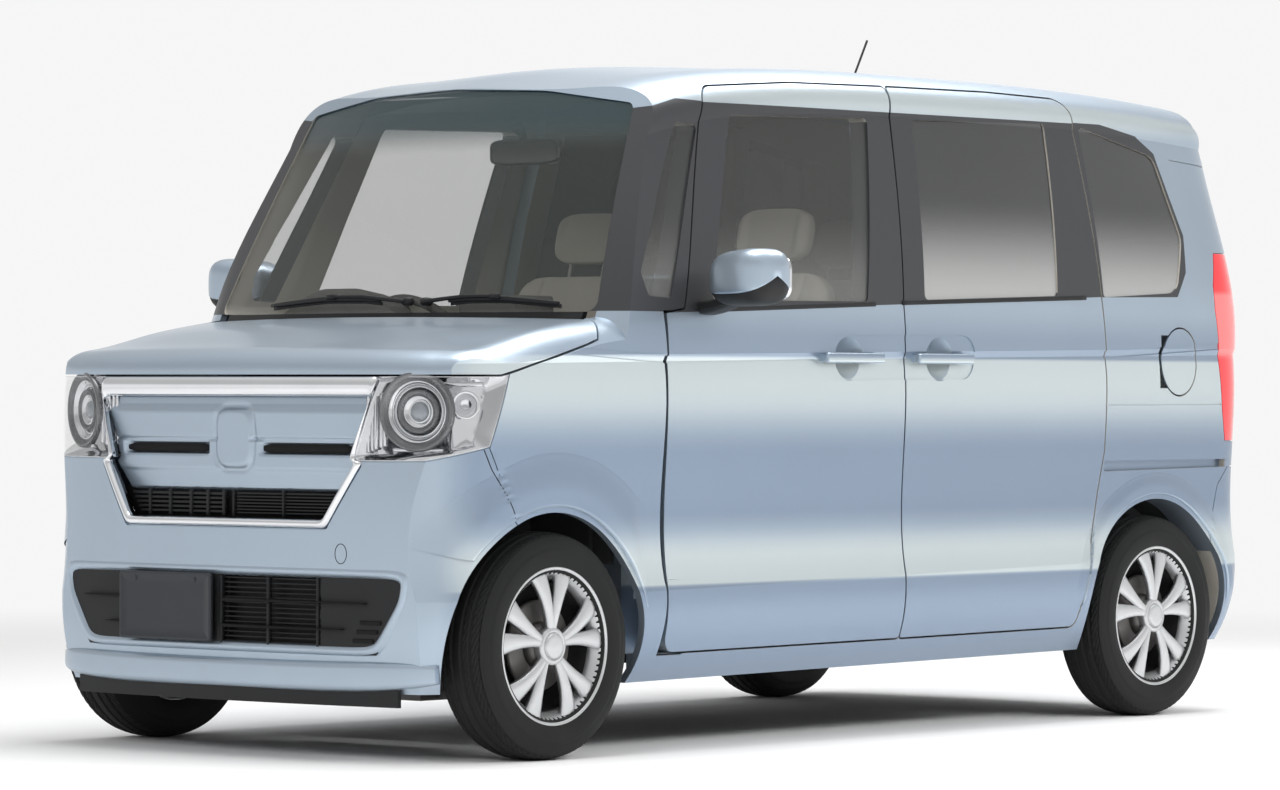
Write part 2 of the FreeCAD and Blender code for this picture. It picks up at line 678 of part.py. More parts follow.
front_window = side_prism(side_outline(window_front_shares, window_radius))
rear_window = side_prism(side_outline(window_rear_shares, window_radius))
door = door_shell.common(side_prism(side_outline(door_front_shares, door_front_radii,
                                                 -shut_gap / 2))).cut(front_window)
slide = door_shell.common(side_prism(side_outline(door_slide_shares, door_slide_radii,
                                                  -shut_gap / 2))).cut(rear_window)
slide = slide.cut(arch_rear)
front_door = largest(door.cut(side_marks).cut(cup(handle_places[0])))
front_door = front_door.fuse(handle(handle_places[0]))
slide = largest(slide.cut(side_marks).cut(cup(handle_places[1]))).fuse(handle(handle_places[1]))
roller_size = 26.0
roller_places = [(share_y(0.0707), share_z(0.148)), (share_y(0.2297), share_z(0.148)), (share_y(0.2807),
                                                                                        share_z(0.3955))]
lip_face = left_side.translated(Vector(rest_gap, 0, 0))
for y, z in roller_places:
    roller = box((wall_half, y, z), (half_width - door_depth + skin_depth, y + roller_size, z + roller_size))
    slide = slide.fuse(roller.cut(lip_face))
keep("sliding_doors", *both(largest(slide)))
front_glass = largest(pane.common(front_window))
slide_glass = largest(pane.common(rear_window))
front_quarter = largest(pane.common(side_prism(side_outline(quarter_front_shares, window_radius))))
rear_quarter = largest(pane.common(side_prism(side_outline(quarter_rear_shares, quarter_rear_radii))))
keep("front_quarter_glass", *both(front_quarter))
keep("privacy_glass", *both(slide_glass), *both(rear_quarter))
keep("door_glass_left", front_glass)
keep("door_glass_right", mirrored(front_glass))
fuel_lid = largest(layer(side_prism(fuel_outline()), 0.0, fuel_lid_depth).cut(side_marks))

# Door hinges: upright pins in pockets at the door's front edge
hinge_inset = 32.0
hinge_setback = 30.0
hinge_x = half_width - hinge_inset
hinge_y = share_y(door_front_shares[0][0]) + shut_gap / 2 + hinge_setback
hinge_heights = [share_z(0.226), share_z(0.4972)]
hinge_pin_radius = 6.0
hinge_eye_radius = 13.0
hinge_eye_height = 36.0
hinge_pocket_height = 62.0
hinge_arm_width = 16.0
hinge_pocket_inner = 34.0
hinge_pocket_outer = 27.0
hinge_pocket_aft = 22.0
hinge_reach = 112.0
hinge_sweep_extra = 4.0
hinge_sweep_outer = math.hypot(hinge_inset, hinge_setback) + shut_gap
hinge_sweep_inner = math.hypot(door_depth - hinge_inset, hinge_setback) + shut_gap + hinge_sweep_extra
hinge_sill_sweep = 66.0
hinge_sill_top = 372.0
post_inner = 590.0
post_outer = 652.0
post_front = 112.0
post_back = 44.0
door_low = share_z(door_front_shares[0][1])
door_belt = share_z(door_front_shares[1][1])


def door_sweep():
    """The space that the door's front edge sweeps as it swings."""
    tall = door_belt - door_low + 2 * shut_gap
    low = door_low - shut_gap
    outer = Part.makeCylinder(hinge_sweep_outer, tall, Vector(hinge_x, hinge_y, low), upward)
    inner = Part.makeCylinder(hinge_sweep_inner, tall, Vector(hinge_x, hinge_y, low), upward)
    sill = Part.makeCylinder(hinge_sill_sweep, hinge_sill_top - low, Vector(hinge_x, hinge_y, low), upward)
    inner = inner.fuse(sill).common(box((0, nose, 0), (hinge_x, tail, height)))
    return outer.fuse(inner)


def hinge_arm(z):
    """A body-side arm that comes in at 45 degrees to an eye about the pin."""
    low = z - hinge_eye_height / 2
    eye = Part.makeCylinder(hinge_eye_radius, hinge_eye_height, Vector(hinge_x, hinge_y, low), upward)
    arm = Part.makeBox(hinge_reach, hinge_arm_width, hinge_eye_height, Vector(0, -hinge_arm_width / 2, low))
    arm.rotate(origin, upward, 225)
    arm.translate(Vector(hinge_x, hinge_y, 0))
    bore = Part.makeCylinder(hinge_pin_radius + running_gap, hinge_eye_height, Vector(hinge_x, hinge_y,
                                                                                      low), upward)
    return eye.fuse(arm).cut(bore)


def hinge_pocket(z):
    low = z - hinge_pocket_height / 2
    high = z + hinge_pocket_height / 2
    return box((hinge_x - hinge_pocket_inner, hinge_y - hinge_setback - overrun, low),
               (hinge_x + hinge_pocket_outer, hinge_y + hinge_pocket_aft, high))


def hinge_pin(z):
    low = z - hinge_pocket_height / 2
    return Part.makeCylinder(hinge_pin_radius, hinge_pocket_height, Vector(hinge_x, hinge_y, low), upward)


def swing_limit():
    """The space about the hinge line that the door may fill without meeting the sliding door as it swings."""
    belt, top = door_slide_shares[1], door_slide_shares[2]
    low = share_z(belt[1])
    span = share_z(top[1]) - low
    lower = share_y(belt[0]) - hinge_y - shut_gap / 2
    upper = lower + (share_y(top[0]) - share_y(belt[0])) * (height - low) / span
    below = Part.makeCylinder(lower, low, Vector(hinge_x, hinge_y, 0), upward)
    above = Part.makeCone(lower, upper, height - low, Vector(hinge_x, hinge_y, low), upward)
    return below.fuse(above)


sweep = door_sweep()
post = box((post_inner, hinge_y - post_front, door_low), (post_outer, hinge_y - post_back, door_belt))
post = post.cut(sweep)
hinged_side = left_side.cut(sweep).fuse([post] + [hinge_arm(z) for z in hinge_heights])
hinged_side = largest(hinged_side.removeSplitter())
keep("front_fenders", *both(largest(fender.cut(arch_front).cut(sweep))))
front_door = largest(front_door.common(swing_limit()))
for z in hinge_heights:
    front_door = front_door.cut(hinge_pocket(z)).fuse(hinge_pin(z))
keep("door_left", front_door)
keep("door_right", mirrored(front_door))

# Wheels
tyre_shoulder = 12.0
bead_radius = rim_diameter / 2
tyre_bulge = 4.0
rim_width = 127.0
rim_wall = 6.0
rim_lip = 8.0
bead_rise_share = 0.18
wall_bulge_share = 0.45
shoulder_share = 0.8
tread_edge = 2.2 * tyre_shoulder
spoke_pairs = 5
spoke_width = 17.0
spoke_depth = 12.0
spoke_spread_degrees = 13.0
cap_radius = 30.0
hub_radius = 52.0
barrel_lip_wall = 1.4 * rim_wall
barrel_well_wall = 2 * rim_wall
barrel_inner_wall = 1.2 * rim_wall
barrel_well_start = 4 * rim_lip
spoke_end_gap = 0.6 * rim_wall
spoke_root_radius = 0.55 * hub_radius
spoke_setback = 1.6 * spoke_depth
spoke_stagger = 0.2 * spoke_width
spoke_turn_degrees = 0.9 * spoke_spread_degrees
hub_length = 2 * spoke_depth
cap_length = 0.4 * spoke_depth
cover_face_inset = 9.0
bearing_radius = 17.0
bearing_length = 70.0
disc_radius = 112.0
disc_width = 18.0


def revolve_x(points, centre):
    """Turn an outline of (x, radius) points about the wheel's axis."""
    places = [Vector(centre.x + x, centre.y, centre.z + r) for x, r in points]
    face = Part.Face(Part.makePolygon(places + places[:1]))
    return face.revolve(centre, across, 360)


def tyre(centre):
    half = tyre_width / 2
    wall = tyre_radius - bead_radius
    low = bead_radius + wall * bead_rise_share
    middle = bead_radius + wall * wall_bulge_share
    shoulder = bead_radius + wall * shoulder_share
    outer = [(half - tread_edge, tyre_radius), (half - tyre_shoulder, tyre_radius - tyre_bulge),
             (half - tyre_bulge, shoulder), (half, middle), (half - tyre_bulge, low), (rim_width / 2,
                                                                                       bead_radius)]
    inner = [(-x, radius) for x, radius in outer[::-1]]
    return revolve_x(inner + outer, centre)


def rim(centre):
    """Barrel, outboard cover with paired spokes, and hub; outboard is +X."""
    half = rim_width / 2
    lip_radius = bead_radius + rim_lip
    barrel = revolve_x([(-half, bead_radius), (half, bead_radius), (half + rim_lip, lip_radius),
                        (half + rim_lip, lip_radius - rim_wall), (half, bead_radius - barrel_lip_wall),
                        (half - barrel_well_start, bead_radius - barrel_well_wall),
                        (-half, bead_radius - barrel_inner_wall)], centre)
    face_x = half + rim_lip - cover_face_inset
    spokes = []
    reach = bead_radius - spoke_end_gap
    for pair in range(spoke_pairs):
        for side in (-1, 1):
            root = Vector(face_x - spoke_setback, side * spoke_stagger - spoke_width / 2, spoke_root_radius)
            blade = Part.makeBox(spoke_depth, spoke_width, reach - spoke_root_radius, root)
            blade.rotate(Vector(root.x, 0, root.z), across, -side * spoke_turn_degrees)
            blade.rotate(origin, across, pair * 360 / spoke_pairs)
            blade.translate(centre)
            spokes.append(blade)
    hub = Part.makeCylinder(hub_radius, hub_length, Vector(centre.x + face_x - hub_length, centre.y,
                                                           centre.z), across)
    cap = Part.makeCylinder(cap_radius, cap_length, Vector(centre.x + face_x, centre.y, centre.z), across)
    disc_x = centre.x + face_x - hub_length - bearing_length
    disc = Part.makeCylinder(disc_radius, disc_width, Vector(disc_x, centre.y, centre.z), across)
    neck = Part.makeCylinder(hub_radius, bearing_length, Vector(disc_x, centre.y, centre.z), across)
    solid = barrel.multiFuse(spokes + [hub, cap, disc, neck])
    bore = Part.makeCylinder(bearing_radius + running_gap, bearing_length, Vector(disc_x, centre.y,
                                                                                  centre.z), across)
    return solid.cut(bore)


face_x = rim_width / 2 + rim_lip - cover_face_inset
disc_x = wheel_x + face_x - hub_length - bearing_length
wheels = {"front": front_axle, "rear": rear_axle}
for end, axle in wheels.items():
    centre = Vector(wheel_x, axle, tyre_radius)
    rubber = tyre(centre)
    metal = rim(centre)
    keep("tyre_" + end + "_left", rubber)
    keep("rim_" + end + "_left", metal)
    keep("tyre_" + end + "_right", mirrored(rubber))
    keep("rim_" + end + "_right", mirrored(metal))

# Front suspension: the knuckle turns about a leaning line from the lower joint to the strut's top
ball_x = 600.0
ball_z = 148.0
strut_top_x = 506.0
strut_top_z = 744.0
strut_radius = 17.0
damper_radius = 11.0
ball_pin_radius = 9.0
ball_pin_length = 26.0
upright_width = 34.0
upright_clearance = 4.0
upright_rise = 70.0
disc_clearance = 8.0
disc_slot_width = 40.0
disc_slot_core = 60.0
disc_slot_lead = 10.0
stub_end_gap = 2.0
strut_foot_drop = 60.0
king_foot = Vector(ball_x, front_axle, ball_z)
king_head = Vector(strut_top_x, front_axle, strut_top_z)
king_line = (king_head - king_foot).normalize()


def king_point(z):
    return king_foot + king_line * ((z - ball_z) / king_line.z)


def king_cylinder(radius, low, high):
    return Part.makeCylinder(radius, (king_point(high) - king_point(low)).Length, king_point(low), king_line)


strut_low = tyre_radius - strut_foot_drop
strut_mid = 560.0
arm_thickness = 18.0
arm_width = 60.0
arm_inner = 330.0
stub_end = disc_x + bearing_length - stub_end_gap


def knuckle():
    lower_pin = king_cylinder(ball_pin_radius, ball_z - ball_pin_length / 2, ball_z + ball_pin_length)
    upright = box((king_point(tyre_radius).x - upright_width / 2, front_axle - upright_width,
                   ball_z + ball_pin_length / 2 + upright_clearance),
                  (king_point(tyre_radius).x + upright_width / 2, front_axle + upright_width,
                   tyre_radius + upright_rise))
    strut = king_cylinder(strut_radius, strut_low, strut_mid)
    damper = king_cylinder(damper_radius, strut_mid, strut_top_z)
    stub_start = king_point(tyre_radius).x
    stub = Part.makeCylinder(bearing_radius, stub_end - stub_start, Vector(stub_start, front_axle,
                                                                           tyre_radius), across)
    body = upright.multiFuse([lower_pin, strut, damper, stub])
    slot_start = Vector(disc_x - rest_gap, front_axle, tyre_radius)
    core_start = Vector(disc_x - disc_slot_lead, front_axle, tyre_radius)
    slot = Part.makeCylinder(disc_radius + disc_clearance, disc_slot_width, slot_start, across)
    return body.cut(slot.cut(Part.makeCylinder(bearing_radius, disc_slot_core, core_start, across)))


left_knuckle = knuckle()
keep("knuckle_left", left_knuckle)
keep("knuckle_right", mirrored(left_knuckle))

# Front subframe: a cross member, two lower arms and the strut mounts on the inner apron
apron_inner = 372.0
apron_outer = 402.0
rail_low = 330.0
cross_overlap = 30.0
cross_half_depth = 90.0
cross_low = 135.0
cross_high = 185.0
leg_x = 300.0
leg_half_width = 25.0
leg_half_depth = 60.0
firewall_low = 330.0
firewall_wall = 14.0
firewall_clearance = 2.0
tower_radius = 60.0
tower_depth = 26.0
tower_half_width = 45.0
tower_bore_reach = 60.0
arm_end = 0.4 * arm_width
ball_bore_reach = 2 * ball_pin_length


def lower_arm():
    arm = box((arm_inner, front_axle - arm_width / 2, ball_z - arm_thickness / 2),
              (ball_x + arm_end, front_axle + arm_width / 2, ball_z + arm_thickness / 2))
    return arm.cut(king_cylinder(ball_pin_radius + running_gap, ball_z - ball_bore_reach,
                                 ball_z + ball_bore_reach))


cross = box((-arm_inner - cross_overlap, front_axle - cross_half_depth, cross_low),
            (arm_inner + cross_overlap, front_axle + cross_half_depth, cross_high))
subframe = cross.multiFuse([lower_arm(), mirrored(lower_arm())])
leg = box((leg_x - leg_half_width, front_axle - leg_half_depth, cross_high),
          (leg_x + leg_half_width, front_axle + leg_half_depth, rail_low))
legs = [leg, mirrored(leg)]
keep("front_subframe", subframe.multiFuse(legs))

firewall_y = share_y(-0.2975)
firewall = box((-wall_half + firewall_clearance, firewall_y, firewall_low),
               (wall_half - firewall_clearance, firewall_y + firewall_wall, share_z(0.5876)))


def strut_tower():
    low = strut_top_z - tower_depth
    top = Part.makeCylinder(tower_radius, tower_depth, Vector(strut_top_x, front_axle, low), upward)
    web = box((apron_outer, front_axle - tower_half_width, low),
              (strut_top_x, front_axle + tower_half_width, strut_top_z))
    apron = box((apron_inner, share_y(-0.4595), rail_low), (apron_outer, firewall_y, strut_top_z))
    tower = top.multiFuse([web, apron])
    bore = king_cylinder(damper_radius + running_gap, strut_top_z - tower_bore_reach,
                         strut_top_z + tower_bore_reach)
    return tower.cut(bore)


tower = strut_tower()
firewall = firewall.cut(arch_front).cut(mirrored(arch_front))
bay = firewall.multiFuse([tower, mirrored(tower)])
keep("engine_bay", bay)

# Floor: toe board, footwell, step up to the load floor
floor_shares = [(-0.2931, 0.3503), (-0.2533, 0.1949), (0.1885, 0.1949), (0.2239, 0.2655), (0.4654, 0.2655),
                (0.4654, 0.2514),
                (0.2283, 0.2514), (0.1929, 0.1797), (-0.2577, 0.1797), (-0.2931, 0.3164)]
floor_half = 628.0
floor = prism(side_outline(floor_shares), across, -floor_half, floor_half)
rear_hole = tube_x(rear_axle, tyre_radius, arch_radius + liner_wall, rear_liner_inner - liner_wall,
                   half_width)
floor = floor.cut(rear_hole).cut(mirrored(rear_hole)).cut(hinged_side).cut(mirrored(hinged_side))
keep("floor_pan", largest(floor))


liner_overlap = 40.0
liner_half_length = 400.0
liner_low = 320.0
liner_high = 700.0


def rear_liner():
    inner = rear_liner_inner - liner_wall
    shape = tube_x(rear_axle, tyre_radius, arch_radius + liner_wall, inner, wall_half + liner_overlap)
    shape = shape.cut(arch_cutter(rear_axle, rear_liner_inner))
    shape = shape.common(box((0, rear_axle - liner_half_length, liner_low),
                             (half_width, rear_axle + liner_half_length, liner_high)))
    return shape.cut(left_side)


keep("rear_wheelhouses", *both(largest(rear_liner())))

# Rear axle beam with stub ends
beam_radius = 32.0
trailing_x = 470.0
trailing_half_width = 22.0
trailing_half_depth = 25.0
trailing_length = 520.0
bracket_half_width = 26.0
bracket_half_depth = 30.0
bracket_front = 560.0
bracket_back = 500.0
rear_stub_end = stub_end
beam = Part.makeCylinder(beam_radius, 2 * (disc_x - rest_gap), Vector(-disc_x + rest_gap, rear_axle,
                                                                      tyre_radius), across)
stub = Part.makeCylinder(bearing_radius, 2 * rear_stub_end, Vector(-rear_stub_end, rear_axle, tyre_radius),
                         across)
arm = box((trailing_x - trailing_half_width, rear_axle - trailing_length, tyre_radius - trailing_half_depth),
          (trailing_x + trailing_half_width, rear_axle, tyre_radius + trailing_half_depth))
trailing = [mirrored(arm), arm]
bracket = box((trailing_x - bracket_half_width, rear_axle - bracket_front, tyre_radius - bracket_half_depth),
              (trailing_x + bracket_half_width, rear_axle - bracket_back, share_z(0.2599)))
brackets = [mirrored(bracket), bracket]
axle_body = beam.multiFuse([stub] + trailing + brackets).cut(floor.translated(Vector(0, 0, -rest_gap)))
keep("rear_axle", largest(axle_body))

# Bonnet hinges under the rear corners
bonnet_axis = Vector(0, share_y(-0.3122), share_z(0.6045))
bonnet_pin_radius = 5.0
bonnet_ear_inner = 630.0
bonnet_ear_width = 12.0
bonnet_ear_radius = 10.0
bonnet_ear_length = 62.0
bracket_width = 7.0
bracket_drop = 40.0
bracket_rise = 8.0
bracket_lug_overlap = 40.0
bracket_lug_low = 120.0
bracket_lug_high = 20.0
pin_overlap = 2.0
bore_overrun = 1.0
cowl_half = share_x(0.838)


def bonnet_ear():
    low = bonnet_axis.z - bonnet_ear_radius
    tip = tube_x(bonnet_axis.y, bonnet_axis.z, bonnet_ear_radius, bonnet_ear_inner,
                 bonnet_ear_inner + bonnet_ear_width)
    plate = box((bonnet_ear_inner, bonnet_axis.y - bonnet_ear_length, low),
                (bonnet_ear_inner + bonnet_ear_width, bonnet_axis.y, low + bonnet_ear_radius))
    bore = tube_x(bonnet_axis.y, bonnet_axis.z, bonnet_pin_radius + running_gap,
                  bonnet_ear_inner - bore_overrun,
                  bonnet_ear_inner + bonnet_ear_width + bore_overrun)
    return tip.fuse(plate).cut(bore)


def bonnet_bracket():
    inner = bonnet_ear_inner + bonnet_ear_width + rest_gap
    outer = inner + bracket_width
    back = firewall_y + firewall_wall
    plate = box((inner, bonnet_axis.y - bonnet_ear_radius, bonnet_axis.z - bracket_drop),
                (outer, back, bonnet_axis.z + bracket_rise))
    lug = box((wall_half - bracket_lug_overlap, firewall_y, bonnet_axis.z - bracket_lug_low),
              (outer, back, bonnet_axis.z - bracket_lug_high))
    pin = tube_x(bonnet_axis.y, bonnet_axis.z, bonnet_pin_radius, bonnet_ear_inner - pin_overlap,
                 inner + pin_overlap)
    return plate.multiFuse([lug, pin])


ear = bonnet_ear()
keep("bonnet", largest(bonnet.multiFuse([ear, mirrored(ear)])))
bracket = bonnet_bracket()
keep("engine_bay", bay.multiFuse([bracket, mirrored(bracket)]))
keep("cowl_panel", largest(cowl.common(box((-cowl_half, nose, 0), (cowl_half, tail, height)))))

# Tailgate hinges in slots at the roof's rear edge
tailgate_setback = 10.0
tailgate_pin_drop = 14.0
tailgate_gap = 12.5
tailgate_axis = Vector(0, tailgate_line + tailgate_setback, roofline(tailgate_line) - tailgate_pin_drop)
tailgate_hinge_x = 250.0
tailgate_eye_width = 24.0
tailgate_slot_width = 42.0
tailgate_eye_radius = 8.0
tailgate_pin_radius = 4.0
tailgate_arm_length = 90.0
tailgate_slot_drop = 22.0
tailgate_slot_reach = 12.0


def tailgate_arm():
    half = tailgate_eye_width / 2
    low, high = tailgate_hinge_x - half, tailgate_hinge_x + half
    eye = tube_x(tailgate_axis.y, tailgate_axis.z, tailgate_eye_radius, low, high)
    arm = box((low, tailgate_axis.y - tailgate_arm_length, tailgate_axis.z - tailgate_eye_radius),
              (high, tailgate_axis.y, tailgate_axis.z))
    bore = tube_x(tailgate_axis.y, tailgate_axis.z, tailgate_pin_radius + running_gap, low, high)
    return eye.fuse(arm).cut(bore)


def tailgate_slot():
    half = tailgate_slot_width / 2
    return box((tailgate_hinge_x - half, tailgate_line - overrun, tailgate_axis.z - tailgate_slot_drop),
               (tailgate_hinge_x + half, tailgate_axis.y + tailgate_slot_reach, height + overrun))


def tailgate_pin():
    half = tailgate_slot_width / 2
    return tube_x(tailgate_axis.y, tailgate_axis.z, tailgate_pin_radius, tailgate_hinge_x - half,
                  tailgate_hinge_x + half)


roof = skin.common(box((-roof_half, nose, share_z(0.8475)), (roof_half, tailgate_line - tailgate_gap,
                                                             height + overrun)))
arm = tailgate_arm()
keep("roof_panel", largest(largest(roof.cut(shield_hole)).multiFuse([arm, mirrored(arm)])))
gate = largest(tailgate.cut(tailgate_window))
slot = tailgate_slot()
pin = tailgate_pin()
gate = gate.cut(slot).cut(mirrored(slot)).multiFuse([pin, mirrored(pin)])
keep("tailgate", largest(gate))

# Fuel lid hinge inside its pocket
lid_axis_inset = 16.0
lid_setback = 9.0
lid_axis = Vector(half_width - lid_axis_inset, fuel_y - fuel_radius_y + lid_setback, fuel_z)
lid_pin_radius = 3.0
lid_lug_height = 20.0
lid_lug_gap = 2.0
lid_lug_half = 5.0
lid_lug_outer = 13.0
lid_tine_half = 3.0
lid_tine_outer = 1.0
lid_tine_height = 6.0
lid_lug_reach = 26.0
lid_bracket_root = half_width - frame_depth + 20.0
lid_sweep_half = 0.8 * fuel_radius_z
filler_radius = 26.0
filler_length = 40.0
filler_offset = 10.0


def lid_lug():
    low = lid_axis.z - lid_lug_height / 2
    lug = box((lid_axis.x - lid_lug_half, lid_axis.y - lid_lug_half, low),
              (lid_axis.x + lid_lug_outer, lid_axis.y + lid_lug_reach, low + lid_lug_height))
    lug = lug.common(envelope(0.0))
    bore = Part.makeCylinder(lid_pin_radius + running_gap, lid_lug_height, Vector(lid_axis.x, lid_axis.y,
                                                                                  low), upward)
    return lug.cut(bore)


def lid_bracket():
    low = lid_axis.z - lid_lug_height / 2 - lid_lug_gap
    tines = []
    for z in (low - lid_tine_height, low + lid_lug_height + 2 * lid_lug_gap):
        tines.append(box((lid_bracket_root, lid_axis.y - lid_tine_half, z),
                         (lid_axis.x + lid_tine_outer, lid_axis.y + lid_tine_half, z + lid_tine_height)))
    pin_length = lid_lug_height + 2 * lid_lug_gap + 2 * pin_overlap
    tines.append(Part.makeCylinder(lid_pin_radius, pin_length, Vector(lid_axis.x, lid_axis.y,
                                                                      low - pin_overlap), upward))
    neck = Part.makeCylinder(filler_radius, filler_length, Vector(lid_bracket_root, fuel_y + filler_offset,
                                                                  fuel_z), across)
    return tines + [neck]


lid_sweep = Part.makeCylinder(math.hypot(lid_axis_inset, lid_setback) + shut_gap, 2 * lid_sweep_half,
                              Vector(lid_axis.x, lid_axis.y, fuel_z - lid_sweep_half), upward)
fuel_pocket = below_skin(side_prism(fuel_outline(shut_gap)), door_depth)
left_body = hinged_side.cut(fuel_pocket).cut(lid_sweep.common(envelope(0.0)))
left_body = largest(left_body.multiFuse(lid_bracket()))
keep("fuel_lid", fused([fuel_lid, lid_lug()]))

# Seats, dashboard and steering wheel
seat_x = 325.0
seat_width = 500.0
seat_depth = 480.0
seat_height = 150.0
seat_back_depth = 110.0
seat_back_height = 600.0
seat_lean = 14.0
seat_round = 32.0
headrest_width = 250.0
headrest_height = 150.0
headrest_depth = 80.0
headrest_offset = 15.0
headrest_gap = 18.0
headrest_post_radius = 6.0
headrest_post_length = 80.0
headrest_post_x = 60.0
headrest_post_y = 55.0
headrest_post_drop = 30.0
back_overlap = 0.8 * seat_back_depth
back_base = 0.6 * seat_height
pedestal_share = 0.36
pedestal_back = 60.0
pedestal_overlap = 20.0
front_pedestal = 70.0
rear_pedestal = 240.0
rear_seat_width = 1.08 * seat_width
rear_seat_x = 0.9 * seat_x
floor_top = share_z(0.1949)
load_floor = share_z(0.2655)


def pad(wide, deep, tall):
    block = Part.makeBox(wide, deep, tall, Vector(-wide / 2, 0, 0))
    return block.makeFillet(seat_round, block.Edges)


def seat(front_y, base_z, floor_z, wide, pedestal_front):
    cushion = pad(wide, seat_depth, seat_height)
    cushion.translate(Vector(0, front_y, base_z))
    back = pad(wide, seat_back_depth, seat_back_height)
    back.rotate(origin, across, -seat_lean)
    foot = Vector(0, front_y + seat_depth - back_overlap, base_z + back_base)
    back.translate(foot)
    rest = pad(headrest_width, headrest_depth, headrest_height)
    rest.translate(Vector(0, headrest_offset, seat_back_height + headrest_gap))
    post_foot = Vector(headrest_post_x, headrest_post_y, seat_back_height - headrest_post_drop)
    post = Part.makeCylinder(headrest_post_radius, headrest_post_length, post_foot, upward)
    head = rest.multiFuse([mirrored(post), post])
    head.rotate(origin, across, -seat_lean)
    head.translate(foot)
    half = wide * pedestal_share
    pedestal = box((-half, front_y + pedestal_front, floor_z + rest_gap),
                   (half, front_y + seat_depth - pedestal_back, base_z + pedestal_overlap))
    return cushion.multiFuse([back, head, pedestal])


front_seat = seat(share_y(-0.1649), share_z(0.3164), floor_top, seat_width, front_pedestal)
front_seat.translate(Vector(seat_x, 0, 0))
keep("front_seats", *both(front_seat))
rear_seat = seat(share_y(0.1561), share_z(0.322), load_floor, rear_seat_width, rear_pedestal)
rear_seat.translate(Vector(rear_seat_x, 0, 0))
keep("rear_seats", *both(rear_seat))

dash_shares = [(-0.2931, 0.5904), (-0.2651, 0.6034), (-0.2268, 0.5932), (-0.2097, 0.548), (-0.215, 0.5028),
               (-0.2356, 0.3616), (-0.2931, 0.3616)]
dash_half = post_inner
dash_round = 18.0
dash = prism(side_outline(dash_shares, dash_round), across, -dash_half, dash_half)
keep("dashboard", dash)

steer_x = -330.0
steer_lean = 30.0
steer_centre = Vector(steer_x, share_y(-0.1797), share_z(0.5565))
steer_radius = 180.0
steer_grip = 13.0
column_radius = 22.0
column_line = Vector(0, math.cos(math.radians(steer_lean)), math.sin(math.radians(steer_lean)))
boss_radius = 60.0
column_length = 170.0
boss_length = 34.0
wheel_spoke_width = 36.0
wheel_spoke_depth = 14.0
wheel_spoke_setback = 18.0
spoke_turns_degrees = (0, 180, 270)
shaft_length = 60.0
shaft_start = 90.0
socket_wall = 16.0
socket_length = 110.0
clear_length = 200.0


def steering_wheel():
    ring = Part.makeTorus(steer_radius, steer_grip, steer_centre, column_line)
    boss = Part.makeCylinder(boss_radius, boss_length, steer_centre - column_line * boss_length, column_line)
    spokes = []
    for turn in spoke_turns_degrees:
        corner = Vector(0, -wheel_spoke_width / 2, -wheel_spoke_setback)
        spoke = Part.makeBox(steer_radius, wheel_spoke_width, wheel_spoke_depth, corner)
        spoke.rotate(origin, upward, turn)
        spoke.rotate(origin, across, -(90 - steer_lean))
        spoke.translate(steer_centre)
        spokes.append(spoke)
    shaft = Part.makeCylinder(column_radius, shaft_length, steer_centre - column_line * shaft_start,
                              column_line)
    return ring.multiFuse([boss, shaft] + spokes)


wheel = steering_wheel()
keep("steering_wheel", wheel)
socket_start = steer_centre - column_line * column_length
socket = Part.makeCylinder(column_radius + socket_wall, socket_length, socket_start, column_line)
clear_start = steer_centre - column_line * (shaft_start + rest_gap)
clear_path = Part.makeCylinder(column_radius + running_gap, clear_length, clear_start, column_line)
keep("dashboard", largest(dash.fuse(socket).cut(clear_path)))

# Engine, tank and exhaust
engine_half = 240.0
engine_low = cross_high + rest_gap
keep("engine_block", box((-engine_half, share_y(-0.4359), engine_low), (engine_half, share_y(-0.3299),
                                                                        share_z(0.4294))))
tank_half = 300.0
tank_low = 190.0
tank_round = 40.0
pipe_x = -400.0
pipe_z = 215.0
pipe_radius = 19.0
muffler_radius = 70.0
muffler_length = 420.0
muffler_offset = 50.0
muffler_z = 240.0
hanger_half = 6.0
hanger_depth = 20.0
floor_under = share_z(0.1797)
tank = box((-tank_half, share_y(-0.1267), tank_low), (tank_half, share_y(0.0736), floor_under))
tank_boxes = [(edge, edge.BoundBox) for edge in tank.Edges]
tank_edges = [edge for edge,
              size in tank_boxes if size.YLength > tank_half and size.ZMax < tank_low + rest_gap]
keep("fuel_tank", tank.makeFillet(tank_round, tank_edges))
pipe_front = share_y(-0.3093)
pipe = Part.makeCylinder(pipe_radius, share_y(0.4654) - pipe_front, Vector(pipe_x, pipe_front, pipe_z), along)
muffler_foot = Vector(pipe_x + muffler_offset, share_y(0.0884), muffler_z)
muffler = Part.makeCylinder(muffler_radius, muffler_length, muffler_foot, along)
hanger_places = [share_y(-0.2356), share_y(0.0295)]
hangers = [box((pipe_x - hanger_half, y, pipe_z), (pipe_x + hanger_half, y + hanger_depth,
                                                   floor_under)) for y in hanger_places]
keep("exhaust", pipe.multiFuse([muffler] + hangers))

# Door mirrors
mirror_x = 882.0
mirror_centre = Vector(mirror_x, share_y(-0.2186), share_z(0.6701))
mirror_size = Vector(208.0, 118.0, 138.0)
mirror_round = 38.0
stem_root = half_width - 26.0
stem_overlap = 40.0
stem_half = 24.0
stem_low = 90.0
stem_high = 45.0
foot_inner = half_width - 40.0
foot_outer = half_width + 10.0
foot_front = 20.0
foot_back = 50.0


